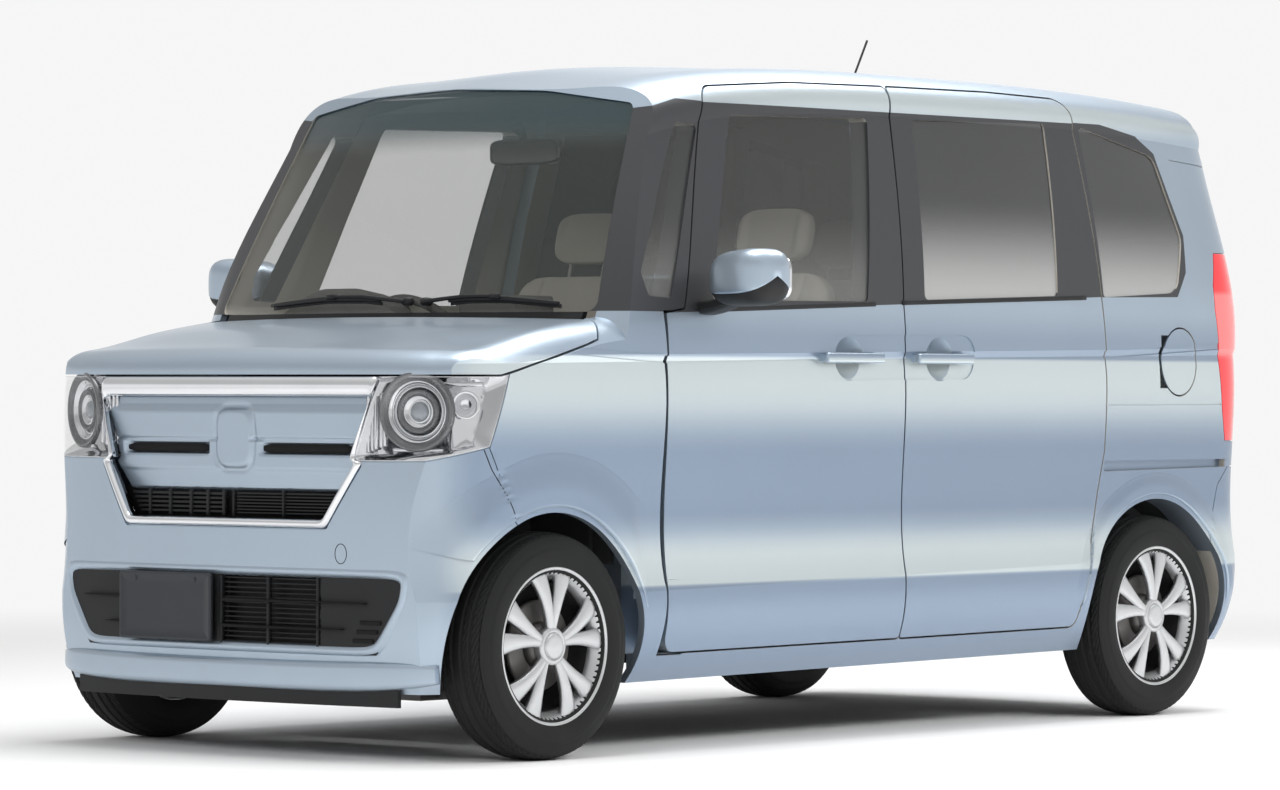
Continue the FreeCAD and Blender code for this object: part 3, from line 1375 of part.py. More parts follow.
def mirror():
    block = Part.makeBox(mirror_size.x, mirror_size.y, mirror_size.z, mirror_centre - mirror_size * 0.5)
    head = block.makeFillet(mirror_round, block.Edges)
    stem = box((stem_root, mirror_centre.y - stem_half, mirror_centre.z - stem_low),
               (mirror_centre.x - stem_overlap, mirror_centre.y + stem_half, mirror_centre.z - stem_high))
    foot = box((foot_inner, mirror_centre.y - foot_front, share_z(0.6237)),
               (foot_outer, mirror_centre.y + foot_back, mirror_centre.z - stem_high))
    return head.multiFuse([stem, foot]).cut(front_door).cut(front_glass)


door_mirror = largest(mirror())
keep("mirror_left", door_mirror)
keep("mirror_right", mirrored(door_mirror))

# Wipers and antenna
antenna_base = Vector(0, share_y(0.2327), 0)
antenna_base.z = roofline(antenna_base.y)
antenna_line = Vector(0, 0.5, 0.87).normalize()
antenna_foot_radius = 22.0
antenna_neck_radius = 12.0
antenna_foot_height = 26.0
antenna_foot_sink = 6.0
antenna_rod_radius = 3.2
antenna_rod_length = 130.0
antenna_rod_start = 8.0
foot = Part.makeCone(antenna_foot_radius, antenna_neck_radius, antenna_foot_height,
                     antenna_base - Vector(0, 0, antenna_foot_sink), upward)
rod_foot = antenna_base + Vector(0, 0, antenna_rod_start)
rod = Part.makeCylinder(antenna_rod_radius, antenna_rod_length, rod_foot, antenna_line)
keep("antenna", foot.fuse(rod).cut(nodes["roof_panel"]))


wiper_places = [((0.1369, -0.344), (-0.5573, -0.3122)), ((0.3132, -0.3408), (0.7119, -0.2946))]
wiper_height = share_z(0.6249)
wiper_post_radius = 9.0
wiper_post_length = 40.0
wiper_arm_share = 0.56
wiper_arm_width = 12.0
wiper_arm_depth = 8.0
blade_share = 0.86
blade_width = 7.0
blade_depth = 14.0


def wiper(pivot, tip):
    """A post in the cowl, an arm and a blade along the foot of the windshield."""
    start = Vector(share_x(pivot[0]), share_y(pivot[1]), wiper_height)
    line = Vector(share_x(tip[0]), share_y(tip[1]), wiper_height) - start
    reach = line.Length
    turn = math.degrees(math.atan2(line.y, line.x))
    post_foot = start - Vector(0, 0, wiper_post_length)
    post = Part.makeCylinder(wiper_post_radius, wiper_post_length + wiper_arm_depth, post_foot, upward)
    arm = Part.makeBox(reach * wiper_arm_share, wiper_arm_width, wiper_arm_depth,
                       Vector(0, -wiper_arm_width / 2, 0))
    blade = Part.makeBox(reach * blade_share, blade_width, blade_depth, Vector(reach * (1 - blade_share),
                                                                               -blade_width / 2, 0))
    swept = arm.fuse(blade)
    swept.rotate(origin, upward, turn)
    swept.translate(start)
    return post.fuse(swept).cut(nodes["cowl_panel"]).cut(nodes["windshield"]).cut(nodes["bonnet"])


keep("wipers", *[largest(wiper(*place)) for place in wiper_places])

keep("body_sides", left_body, mirrored(hinged_side))

os.makedirs("parts", exist_ok=True)
for name, shape in nodes.items():
    shape.exportStep("parts/" + name + ".step")
    print(name, len(shape.Solids), round(shape.Volume / 1e6, 2))
for name, place in (("bonnet", bonnet_axis), ("tailgate", tailgate_axis), ("lid", lid_axis),
                    ("steer", steer_centre)):
    print("axis", name, place.x, place.y, place.z)
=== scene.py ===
import math
import bmesh
import bpy
import numpy as np
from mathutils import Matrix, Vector
from mathutils.bvhtree import BVHTree


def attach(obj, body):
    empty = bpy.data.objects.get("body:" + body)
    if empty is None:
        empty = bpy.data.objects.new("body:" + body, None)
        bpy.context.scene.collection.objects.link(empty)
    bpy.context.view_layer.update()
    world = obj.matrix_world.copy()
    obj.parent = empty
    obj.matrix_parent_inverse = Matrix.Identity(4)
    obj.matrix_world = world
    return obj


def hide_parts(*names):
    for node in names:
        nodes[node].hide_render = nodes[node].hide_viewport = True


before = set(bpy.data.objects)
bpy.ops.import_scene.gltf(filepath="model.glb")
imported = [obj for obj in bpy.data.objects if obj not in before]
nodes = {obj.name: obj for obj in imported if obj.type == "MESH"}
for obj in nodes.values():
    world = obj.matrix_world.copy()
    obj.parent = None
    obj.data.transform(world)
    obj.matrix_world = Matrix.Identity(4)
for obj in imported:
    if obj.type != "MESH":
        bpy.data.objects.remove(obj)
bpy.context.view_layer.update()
scene = bpy.context.scene
scene.view_settings.view_transform = "Standard"
print("frame loaded:", len(nodes), "nodes")

camera = {"place": (9.475714, -11.130541, 0.900289), "yaw": 0.710709453, "pitch": 0.000755303,
          "roll": 0.00248448, "lens": 152.412, "sensor": 36.0}


def lookAxes(yaw, pitch, roll):
    # forward from yaw and pitch, then right and up turned about it by the roll
    forward = Vector((-math.sin(yaw) * math.cos(pitch), math.cos(yaw) * math.cos(pitch), -math.sin(pitch)))
    right = Vector((math.cos(yaw), math.sin(yaw), 0.0))
    up = right.cross(forward)
    c, s = math.cos(roll), math.sin(roll)
    return c * right + s * up, c * up - s * right, forward


lensData = bpy.data.cameras.new("viewCamera")
lensData.lens = camera["lens"]
lensData.sensor_width = camera["sensor"]
lensData.sensor_fit = "HORIZONTAL"
lensData.clip_end = 200.0
viewCamera = bpy.data.objects.new("viewCamera", lensData)
scene.collection.objects.link(viewCamera)
right, up, forward = lookAxes(camera["yaw"], camera["pitch"], camera["roll"])
turn = viewCamera.matrix_world.to_3x3()
for row in range(3):
    turn[row][0], turn[row][1], turn[row][2] = right[row], up[row], -forward[row]
viewCamera.matrix_world = turn.to_4x4()
viewCamera.location = camera["place"]
scene.camera = viewCamera
print("camera placed")


def feed(tree, value, socket):
    # link a socket to it or set a plain value; a colour gets its alpha
    if isinstance(value, bpy.types.NodeSocket):
        tree.links.new(value, socket)
    elif socket.type == "RGBA" and len(value) == 3:
        socket.default_value = (*value, 1.0)
    else:
        socket.default_value = value


def node(tree, kind, values=(), **settings):
    made = tree.nodes.new("ShaderNode" + kind)
    for key, value in settings.items():
        setattr(made, key, value)
    for key, value in dict(values).items():
        feed(tree, value, made.inputs[key])
    return made


def combine(tree, operation, a, b=None, clamp=False):
    values = {0: a} if b is None else {0: a, 1: b}
    return node(tree, "Math", values, operation=operation, use_clamp=clamp).outputs[0]


def times(tree, a, b, clamp=False):
    return combine(tree, "MULTIPLY", a, b, clamp)


def ramp(tree, value, start, stop, low=0.0, high=1.0):
    values = {0: value, 1: start, 2: stop, 3: low, 4: high}
    return node(tree, "MapRange", values, interpolation_type="SMOOTHSTEP").outputs[0]


def blendColours(tree, factor, a, b):
    return node(tree, "Mix", {0: factor, 6: a, 7: b}, data_type="RGBA").outputs[2]


def startMaterial(name):
    made = bpy.data.materials.new(name)
    made.use_nodes = True
    tree = made.node_tree
    shader = tree.nodes["Principled BSDF"]
    coords = node(tree, "TexCoord").outputs["Object"]
    return made, tree, shader, coords


def setShader(tree, shader, **values):
    for key, value in values.items():
        feed(tree, value, shader.inputs[key.replace("_", " ")])


def makeGroup(name, inputs, outputs):
    group = bpy.data.node_groups.new(name, "ShaderNodeTree")
    for label, kind, value in inputs:
        made = group.interface.new_socket(name=label, in_out="INPUT", socket_type="NodeSocket" + kind)
        if value is not None:
            made.default_value = value
    for label, kind in outputs:
        group.interface.new_socket(name=label, in_out="OUTPUT", socket_type="NodeSocket" + kind)
    entry = group.nodes.new("NodeGroupInput")
    leave = group.nodes.new("NodeGroupOutput")
    return group, entry, leave


# fine grain: noise at the given scale, pushed to a height and a small lightness change
grainGroup, entry, leave = makeGroup("surfaceGrain", [("Vector", "Vector", None), ("Scale", "Float", 800.0),
                                     ("Spread", "Float", 0.3)], [("Height", "Float"), ("Shade", "Float")])
fine = node(grainGroup, "TexNoise", {"Vector": entry.outputs["Vector"], "Scale": entry.outputs["Scale"], "Detail": 3.0})
coarse = node(grainGroup, "TexNoise", {"Vector": entry.outputs["Vector"], "Scale": 9.0, "Detail": 4.0})
grainGroup.links.new(fine.outputs["Fac"], leave.inputs["Height"])
swing = times(grainGroup, combine(grainGroup, "SUBTRACT", coarse.outputs["Fac"], 0.5), entry.outputs["Spread"])
grainGroup.links.new(combine(grainGroup, "ADD", swing, 1.0), leave.inputs["Shade"])

# road dust: thicker near the ground, broken up by noise
dustGroup, entry, leave = makeGroup("roadDust", [("Vector", "Vector", None), ("Top", "Float", 0.5),
                                    ("Amount", "Float", 0.3)], [("Mask", "Float")])
parts = node(dustGroup, "SeparateXYZ", {0: entry.outputs["Vector"]})
clouds = node(dustGroup, "TexNoise", {"Vector": entry.outputs["Vector"], "Scale": 14.0, "Detail": 6.0})
lowness = node(dustGroup, "MapRange", {0: parts.outputs["Z"], 1: 0.0, 2: entry.outputs["Top"], 3: 1.0, 4: 0.0})
spots = times(dustGroup, lowness.outputs[0], clouds.outputs["Fac"])
dustGroup.links.new(times(dustGroup, spots, entry.outputs["Amount"]), leave.inputs["Mask"])


def useGroup(tree, group, **values):
    made = tree.nodes.new("ShaderNodeGroup")
    made.node_tree = group
    for key, value in values.items():
        feed(tree, value, made.inputs[key])
    return made


def bumpFrom(tree, height, strength, distance):
    return node(tree, "Bump", {"Height": height, "Strength": strength, "Distance": distance}).outputs[0]


def sideMask(tree, coords, outline):
    # 1 inside a convex outline of (y, z) points seen from the side: the least of the distances to its edges
    least = None
    count = len(outline)
    centre = np.mean(outline, axis=0)
    for index in range(count):
        a, b = np.array(outline[index]), np.array(outline[(index + 1) % count])
        normal = np.array([b[1] - a[1], a[0] - b[0]])
        normal = normal / np.hypot(*normal)
        if np.dot(centre - a, normal) < 0:
            normal = -normal
        away = node(tree, "VectorMath", {0: coords, 1: (0.0, *normal)}, operation="DOT_PRODUCT").outputs["Value"]
        away = combine(tree, "SUBTRACT", away, float(np.dot(a, normal)))
        least = away if least is None else combine(tree, "MINIMUM", least, away)
    return combine(tree, "GREATER_THAN", least, 0.0)


def anyOf(tree, masks):
    total = masks[0]
    for mask in masks[1:]:
        total = combine(tree, "MAXIMUM", total, mask)
    return total


# pale is a painted highlight colour and deep a painted shade colour, laid in bands by height on the side-facing paint
# at the strength given last
paintLook = {"colour": (0.38, 0.455, 0.535), "flakes": 2600.0, "metallic": 0.80, "roughness": 0.36, "coat": 0.35,
             "pale": (0.66, 0.725, 0.72), "deep": (0.185, 0.245, 0.345), "black": (0.026, 0.027, 0.030),
             "cabin": (0.36, 0.34, 0.30), "paintedBandStrength": 0.74}


def paintedLightBands(tree, z):
    # painted reflection bands: a pale painted highlight under the waist crease, over the lower one and on the roof
    # rail, and darker painted shade between them, over the waist crease and on the sill
    waist = times(tree, ramp(tree, z, 0.74, 0.93), ramp(tree, z, 0.992, 0.980))
    lower = times(tree, ramp(tree, z, 0.56, 0.48), ramp(tree, z, 0.412, 0.420))
    pale = anyOf(tree, [waist, lower, ramp(tree, z, 1.60, 1.66)])
    middle = times(tree, ramp(tree, z, 0.88, 0.74), ramp(tree, z, 0.52, 0.60))
    above = times(tree, times(tree, ramp(tree, z, 0.984, 0.992), ramp(tree, z, 1.13, 1.03)), 0.7)
    deep = anyOf(tree, [middle, ramp(tree, z, 0.420, 0.408), above])
    return times(tree, pale, paintLook["paintedBandStrength"]), times(tree, deep, paintLook["paintedBandStrength"])


def makePaint(name, darkOutlines=()):
    # metallic flakes under clear coat; dark satin where an outline says so, and beige where the skin faces the cabin
    made, tree, shader, coords = startMaterial(name)
    flakes = node(tree, "TexVoronoi", {"Vector": coords, "Scale": paintLook["flakes"]})
    spread = node(tree, "TexNoise", {"Vector": coords, "Scale": 1.7, "Detail": 2.0})
    light = tuple(min(1.0, c * 1.12) for c in paintLook["colour"])
    dark = tuple(c * 0.93 for c in paintLook["colour"])
    sparkle = times(tree, times(tree, flakes.outputs["Color"], 0.5), 0.4)
    tone = combine(tree, "ADD", times(tree, spread.outputs["Fac"], 0.7), sparkle, clamp=True)
    colour = blendColours(tree, tone, dark, light)
    normal = node(tree, "TexCoord").outputs["Normal"]
    facing = combine(tree, "ABSOLUTE", node(tree, "SeparateXYZ", {0: normal}).outputs["X"])
    sideways = ramp(tree, facing, 0.72, 0.93)
    # the side-facing paint gets painted reflection bands by height: pale painted highlight and deep painted shade
    pale, deep = paintedLightBands(tree, node(tree, "SeparateXYZ", {0: coords}).outputs["Z"])
    colour = blendColours(tree, times(tree, sideways, pale), colour, paintLook["pale"])
    colour = blendColours(tree, times(tree, sideways, deep), colour, paintLook["deep"])
    dust = useGroup(tree, dustGroup, Vector=coords, Top=0.45, Amount=0.06)
    colour = blendColours(tree, dust.outputs["Mask"], colour, (0.16, 0.15, 0.14))
    metallic, roughness, coat = paintLook["metallic"], paintLook["roughness"], paintLook["coat"]
    if darkOutlines:
        place = node(tree, "VectorMath", {0: coords, 1: (0.0, 0.3, 1.0)}, operation="SUBTRACT").outputs[0]
        place = node(tree, "VectorMath", {0: place, 1: (1.0, 0.4, 1.0)}, operation="MULTIPLY").outputs[0]
        outward = node(tree, "VectorMath", {0: place, 1: normal}, operation="DOT_PRODUCT").outputs["Value"]
        inner = combine(tree, "LESS_THAN", outward, -0.12)
        mask = anyOf(tree, [inner] + [sideMask(tree, coords, outline) for outline in darkOutlines])
        grain = useGroup(tree, grainGroup, Vector=coords, Scale=900.0, Spread=0.2)
        colour = blendColours(tree, mask, colour, blendColours(tree, inner, paintLook["black"], paintLook["cabin"]))
        metallic, roughness, coat = [node(tree, "MapRange", {0: mask, 3: bare, 4: satin}).outputs[0]
                                     for bare, satin in ((metallic, 0.0), (roughness, 0.42), (coat, 0.05))]
        bump = bumpFrom(tree, times(tree, grain.outputs["Height"], mask), 0.05, 0.0004)
        setShader(tree, shader, Normal=bump)
    setShader(tree, shader, Base_Color=colour, Metallic=metallic, Roughness=roughness, Coat_Weight=coat,
              Coat_Roughness=0.10)
    return made


def makePlastic(name, colour, roughness, scale=1400.0, strength=0.15, spread=0.25, coat=0.0, dusty=0.0, metallic=0.0):
    made, tree, shader, coords = startMaterial(name)
    grain = useGroup(tree, grainGroup, Vector=coords, Scale=scale, Spread=spread)
    base = node(tree, "VectorMath", {0: (*colour,), 3: grain.outputs["Shade"]}, operation="SCALE").outputs[0]
    rough = times(tree, grain.outputs["Shade"], roughness, clamp=True)
    if dusty:
        dust = useGroup(tree, dustGroup, Vector=coords, Top=0.5, Amount=dusty)
        base = blendColours(tree, dust.outputs["Mask"], base, (0.2, 0.18, 0.16))
    if not metallic and not coat:
        shader.inputs["Specular IOR Level"].default_value = 0.3
    setShader(tree, shader, Base_Color=base, Roughness=rough, Coat_Weight=coat, Coat_Roughness=0.05, Metallic=metallic,
              Normal=bumpFrom(tree, grain.outputs["Height"], strength, 0.0004))
    return made


def makeGlass(name, colour, alpha, roughness=0.02, shade=None, paintedSheen=None):
    # thin tinted glass: see-through by alpha, glossy by the shader
    made, tree, shader, coords = startMaterial(name)
    smear = node(tree, "TexNoise", {"Vector": coords, "Scale": 5.0, "Detail": 3.0})
    rough = node(tree, "MapRange", {0: smear.outputs["Fac"], 3: roughness, 4: roughness * 2.0}).outputs[0]
    height = node(tree, "SeparateXYZ", {0: coords}).outputs["Z"]
    base = colour
    if paintedSheen:        # paler low down: a painted reflection of light on the glass
        base = blendColours(tree, ramp(tree, height, paintedSheen["high"], paintedSheen["low"]), colour, paintedSheen["colour"])
    if shade:       # darker at the top
        band = ramp(tree, height, shade["low"], shade["high"])
        base = blendColours(tree, band, colour, shade["colour"])
        alpha = node(tree, "MapRange", {0: band, 3: alpha, 4: shade["alpha"]}).outputs[0]
    setShader(tree, shader, Base_Color=base, Roughness=rough, Alpha=alpha, IOR=1.5, Coat_Weight=1.0,
              Coat_Roughness=0.01, Specular_IOR_Level=0.6)
    return made


def fromMillimetres(points):
    return [(y / 1000.0, z / 1000.0) for y, z in points]


bandFront = [(-1300, 1082), (-780, 1096), (-560, 1634), (-700, 1640), (-1010, 1560), (-1300, 1400)]
bandSide = [(-1400, 1076), (200, 1133), (1500, 1180), (1500, 1642), (-620, 1634), (-1000, 1560)]
quarterDark = [(960, 1160), (1335, 1166), (1392, 1235), (1415, 1340), (1352, 1570), (1270, 1616), (1090, 1642),
               (960, 1642)]
paint = makePaint("bodyPaint")
sidePaint = makePaint("sidePaint", [fromMillimetres(bandFront), fromMillimetres(quarterDark)])
doorPaint = makePaint("doorPaint", [fromMillimetres(bandSide)])
blackTrim = makePlastic("blackTrim", (0.011, 0.0115, 0.0125), 0.50, strength=0.25)
softBlack = makePlastic("softBlack", (0.005, 0.005, 0.0055), 0.8, scale=500.0, strength=0.3)
pianoBlack = makePlastic("pianoBlack", (0.010, 0.011, 0.012), 0.16, strength=0.01, coat=0.6)
chrome = makePlastic("chrome", (0.80, 0.81, 0.83), 0.07, scale=60.0, strength=0.004, spread=0.1, metallic=1.0)
lampChrome = makePlastic("lampChrome", (0.74, 0.75, 0.77), 0.09, scale=200.0, strength=0.02, spread=0.2, metallic=1.0)
silver = makePlastic("wheelSilver", (0.56, 0.57, 0.58), 0.34, scale=2600.0, strength=0.02, spread=0.12, coat=0.35,
                     metallic=0.75, dusty=0.1)
rubber = makePlastic("tyreRubber", (0.0065, 0.007, 0.007), 0.66, scale=700.0, strength=0.35, dusty=0.03)
iron = makePlastic("castIron", (0.16, 0.155, 0.15), 0.55, scale=380.0, strength=0.5, metallic=0.6, dusty=0.2)
underPaint = makePlastic("underbodyCoat", (0.035, 0.036, 0.038), 0.6, scale=260.0, strength=0.5, dusty=0.3)
steel = makePlastic("exhaustSteel", (0.42, 0.40, 0.37), 0.38, scale=180.0, strength=0.15, metallic=0.9, dusty=0.3)
# clear and privacy glass are made paler low down, a painted reflection
clearGlass = makeGlass("clearGlass", (0.10, 0.105, 0.10), 0.20,
                       paintedSheen={"low": 1.12, "high": 1.36, "colour": (0.30, 0.305, 0.29)})
shieldGlass = makeGlass("shieldGlass", (0.07, 0.085, 0.078), 0.16,
                        shade={"low": 1.50, "high": 1.60, "colour": (0.008, 0.034, 0.042), "alpha": 0.62})
darkGlass = makeGlass("privacyGlass", (0.020, 0.021, 0.022), 0.91,
                      paintedSheen={"low": 1.13, "high": 1.42, "colour": (0.30, 0.30, 0.295)})
lensClear = makeGlass("lampLens", (0.03, 0.035, 0.04), 0.06, 0.01)
seatCloth = makePlastic("seatCloth", (0.44, 0.41, 0.36), 0.85, scale=1100.0, strength=0.6, spread=0.12)
trimBeige = makePlastic("trimBeige", (0.40, 0.38, 0.34), 0.6, scale=900.0, strength=0.3)
dashGrain = makePlastic("dashGrain", (0.10, 0.095, 0.088), 0.55, scale=1200.0, strength=0.5)
bezelGrey = makePlastic("bezelGrey", (0.20, 0.205, 0.21), 0.27, scale=900.0, strength=0.05, metallic=0.9)
projectorGlass = makePlastic("projectorGlass", (0.30, 0.33, 0.36), 0.04, scale=40.0, strength=0.002, spread=0.05,
                             coat=1.0, metallic=0.5)
plateBlank = makePlastic("plateBlank", (0.028, 0.031, 0.036), 0.35, scale=800.0, strength=0.05)


def makeTailLens():
    # clear red plastic, paler in the middle by a painted reflection of the reflector behind it
    made, tree, shader, coords = startMaterial("tailLens")
    height = node(tree, "SeparateXYZ", {0: coords}).outputs["Z"]
    pale = times(tree, ramp(tree, height, 0.99, 1.02), ramp(tree, height, 1.19, 1.17))
    ribs = node(tree, "TexWave", {"Vector": coords, "Scale": 60.0}, bands_direction="Z")
    colour = blendColours(tree, pale, (0.62, 0.012, 0.018), (0.86, 0.12, 0.12))
    setShader(tree, shader, Base_Color=colour, Roughness=0.12, Coat_Weight=1.0, Coat_Roughness=0.02,
              Emission_Color=colour, Normal=bumpFrom(tree, ribs.outputs["Fac"], 0.06, 0.001))
    # a faint painted glow in the lens colour; no lamp stands behind it
    shader.inputs["Emission Strength"].default_value = 0.12
    return made


tailLens = makeTailLens()
solidFinishes = [
    (paint, "roof_panel front_fenders bonnet front_bumper grille_panel rear_bumper tailgate fuel_lid mirror_left "
            "mirror_right"),
    (sidePaint, "body_sides"), (doorPaint, "sliding_doors door_left door_right"), (chrome, "grille_chrome"),
    (blackTrim, "cowl_panel antenna lip_spoiler wipers"), (softBlack, "grille_mesh lower_grille fuel_tank"),
    (shieldGlass, "windshield"), (darkGlass, "tailgate_glass privacy_glass"), (lensClear, "headlamps"),
    (clearGlass, "front_quarter_glass door_glass_left door_glass_right"), (tailLens, "tail_lamps"),
    (iron, "knuckle_left knuckle_right front_subframe engine_block rear_axle"), (steel, "exhaust"),
    (underPaint, "engine_bay floor_pan rear_wheelhouses"), (dashGrain, "dashboard steering_wheel"),
    (seatCloth, "front_seats rear_seats"), (rubber, "tyre_front_left tyre_front_right tyre_rear_left tyre_rear_right"),
    (silver, "rim_front_left rim_front_right rim_rear_left rim_rear_right")]
for finish, names in solidFinishes:
    for name in names.split():
        nodes[name].data.materials.clear()
        nodes[name].data.materials.append(finish)
print("finishes on the nodes")

studio = {"floor": (0.80, 0.80, 0.80), "size": 200.0, "pale": 0.925, "fadeStart": 3.4, "fadeEnd": 8.5, "world": 0.62}


def seenRays(tree):
    rays = node(tree, "LightPath")
    return anyOf(tree, [rays.outputs[kind] for kind in ("Is Camera Ray", "Is Glossy Ray", "Is Transmission Ray")])


def stageMaterial():
    # diffuse near the car, so that it keeps the shadow, and as pale as the backdrop further out
    made, tree, shader, coords = startMaterial("studioFloor")
    spread = node(tree, "TexNoise", {"Vector": coords, "Scale": 0.6, "Detail": 2.0})
    away = node(tree, "VectorMath", {0: coords}, operation="LENGTH").outputs["Value"]
    far = ramp(tree, away, studio["fadeStart"], studio["fadeEnd"])
    far = times(tree, far, seenRays(tree))
    near = blendColours(tree, spread.outputs["Fac"], tuple(c * 0.995 for c in studio["floor"]), studio["floor"])
    setShader(tree, shader, Base_Color=blendColours(tree, far, near, (0, 0, 0)), Roughness=0.7,
              Emission_Color=blendColours(tree, far, (0, 0, 0), (studio["pale"],) * 3))
    shader.inputs["Emission Strength"].default_value = 1.0
    shader.inputs["Specular IOR Level"].default_value = 0.0
    return made


half = studio["size"] / 2
floorMesh = bpy.data.meshes.new("studioFloor")
floorMesh.from_pydata([(-half, -half, 0), (half, -half, 0), (half, half, 0), (-half, half, 0)], [], [(0, 1, 2, 3)])
floorPlane = bpy.data.objects.new("studioFloor", floorMesh)
scene.collection.objects.link(floorPlane)
floorMesh.materials.append(stageMaterial())

world = bpy.data.worlds.new("studioWorld")
scene.world = world
world.use_nodes = True
tree = world.node_tree
background = tree.nodes["Background"]
sky = node(tree, "TexCoord").outputs["Generated"]
height = node(tree, "SeparateXYZ", {0: sky}).outputs["Z"]
# pale band round the horizon, greyer above it, and brighter again overhead
band = ramp(tree, height, 0.34, 0.10)
crown = ramp(tree, height, 0.5, 0.9, 0.55, 0.85)
crownGrey = node(tree, "CombineColor", {0: crown, 1: crown, 2: crown}).outputs[0]
grey = blendColours(tree, band, crownGrey, (studio["pale"],) * 3)
tree.links.new(blendColours(tree, seenRays(tree), (studio["world"],) * 3, grey), background.inputs["Color"])
background.inputs["Strength"].default_value = 1.0

lamps = {
    "overhead": {"place": (0.0, 1.1, 5.2), "aim": (0.0, 0.5, 0.8), "size": (2.6, 6.0), "power": 300.0},
    "sideLong": {"place": (6.0, 0.6, 3.4), "aim": (0.0, 0.2, 0.7), "size": (7.0, 1.4), "power": 330.0},
    "frontSoft": {"place": (1.5, -7.5, 3.6), "aim": (0.0, -1.0, 0.7), "size": (3.5, 1.6), "power": 150.0},
}
for name, look in lamps.items():
    data = bpy.data.lights.new(name, "AREA")
    data.shape = "RECTANGLE"
    data.size, data.size_y = look["size"]
    data.energy = look["power"]
    lamp = bpy.data.objects.new(name, data)
    scene.collection.objects.link(lamp)
    lamp.location = look["place"]
    lamp.visible_glossy = name == "overhead"       # no square patches on the windshield
    lamp.rotation_euler = (Vector(look["aim"]) - Vector(look["place"])).to_track_quat("-Z", "Y").to_euler()
print("studio lit")


def makePiece(name, points, faces, finish, body, replaced=(), slot=None):
    faces = faces if isinstance(faces, list) else np.asarray(faces).tolist()
    mesh = bpy.data.meshes.new(name)
    mesh.from_pydata(np.asarray(points, float).reshape(-1, 3).tolist(), [], faces)
    mesh.validate()
    mesh.materials.append(finish)
    mesh.polygons.foreach_set("use_smooth", [True] * len(mesh.polygons))
    piece = bpy.data.objects.new(name, mesh)
    scene.collection.objects.link(piece)
    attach(piece, body)
    if replaced:
        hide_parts(*replaced)
    return piece


def gridFaces(rows, columns, wrapRows=False, wrapColumns=False):
    # quads between neighbouring points of a rows x columns grid
    r = np.arange(rows if wrapRows else rows - 1)
    c = np.arange(columns if wrapColumns else columns - 1)
    a, b = np.meshgrid(r, c, indexing="ij")
    nextA, nextB = (a + 1) % rows, (b + 1) % columns
    quads = np.stack([a * columns + b, a * columns + nextB, nextA * columns + nextB, nextA * columns + b], -1)
    return quads.reshape(-1, 4)


def turned(profile, steps, closed=False):
    # revolve: profile (x, radius) carried round the X axis in equal steps
    profile = np.array(profile)
    angle = np.linspace(0, 2 * np.pi, steps, endpoint=False)[:, None]
    x, radius = profile[:, 0][None], profile[:, 1][None]
    grid = np.stack([np.broadcast_to(x, (steps, len(profile))), radius * np.cos(angle), radius * np.sin(angle)], -1)
    return grid, gridFaces(steps, len(profile), wrapRows=True, wrapColumns=closed)


class Build:
    # gathers several grids into one mesh
    def __init__(self):
        self.points, self.faces, self.count = [], [], 0

    def add(self, points, faces):
        points = np.asarray(points, float).reshape(-1, 3)
        self.points.append(points)
        self.faces.extend((np.asarray(faces) + self.count).tolist())
        self.count += len(points)

    def addGrid(self, grid, **wraps):
        self.add(grid, gridFaces(*grid.shape[:2], **wraps))

    def addTurned(self, profile, steps, place=np.asarray, **more):
        # a turned shape, with place to turn and move its grid
        grid, faces = turned(profile, steps, **more)
        self.add(place(grid), faces)

    def addLoops(self, loops):
        # closed loops of equal length joined in order, with the ends filled by their own polygons
        loops = np.asarray(loops, float)
        rows, columns = loops.shape[:2]
        start = self.count
        self.add(loops, gridFaces(rows, columns, wrapColumns=True))
        self.faces.append([start + i for i in range(columns)][::-1])
        self.faces.append([start + (rows - 1) * columns + i for i in range(columns)])

    def addTube(self, path, section, **more):
        self.addLoops(tubeAlong(path, section, **more))

    def placed(self, place):
        self.points = [place(np.concatenate(self.points))]
        return self

    def piece(self, name, finish, body, **more):
        return makePiece(name, np.concatenate(self.points), self.faces, finish, body, **more)

    def solid(self, name, finish, body, merge=0.0, **more):
        # the same with its faces turned outwards
        return fixNormals(self.piece(name, finish, body, **more), merge)


def fixNormals(piece, merge=0.0):
    work = bmesh.new()
    work.from_mesh(piece.data)
    if merge:
        bmesh.ops.remove_doubles(work, verts=work.verts, dist=merge)
    bmesh.ops.recalc_face_normals(work, faces=work.faces)
    work.to_mesh(piece.data)
    work.free()
    return piece


def addModifier(piece, kind, **settings):
    made = piece.modifiers.new(kind.lower(), kind)
    for key, value in settings.items():
        setattr(made, key, value)
    return made


def roundedLoop(width, height, radius, steps=6):
    # corner arcs of a rounded rectangle, as (across, up)
    points = []
    for sx, sy, begin in ((1, 1, 0), (-1, 1, 90), (-1, -1, 180), (1, -1, 270)):
        angles = np.radians(begin + np.linspace(0, 90, steps))
        points.append(np.stack([sx * (width / 2 - radius) + radius * np.cos(angles),
                                sy * (height / 2 - radius) + radius * np.sin(angles)], -1))
    return np.concatenate(points)


def tubeAlong(path, section, upHint=(0, 0, 1)):
    # carry a section (across, up) along a path, square to it; section may change per station
    path, section = np.asarray(path, float), np.asarray(section, float)
    ahead = np.gradient(path, axis=0)
    ahead /= np.linalg.norm(ahead, axis=1)[:, None]
    side = np.cross(ahead, np.asarray(upHint, float))
    side /= np.linalg.norm(side, axis=1)[:, None]
    rise = np.cross(side, ahead)
    if section.ndim == 2:
        section = np.broadcast_to(section, (len(path), *section.shape))
    return path[:, None] + section[..., :1] * side[:, None] + section[..., 1:] * rise[:, None]


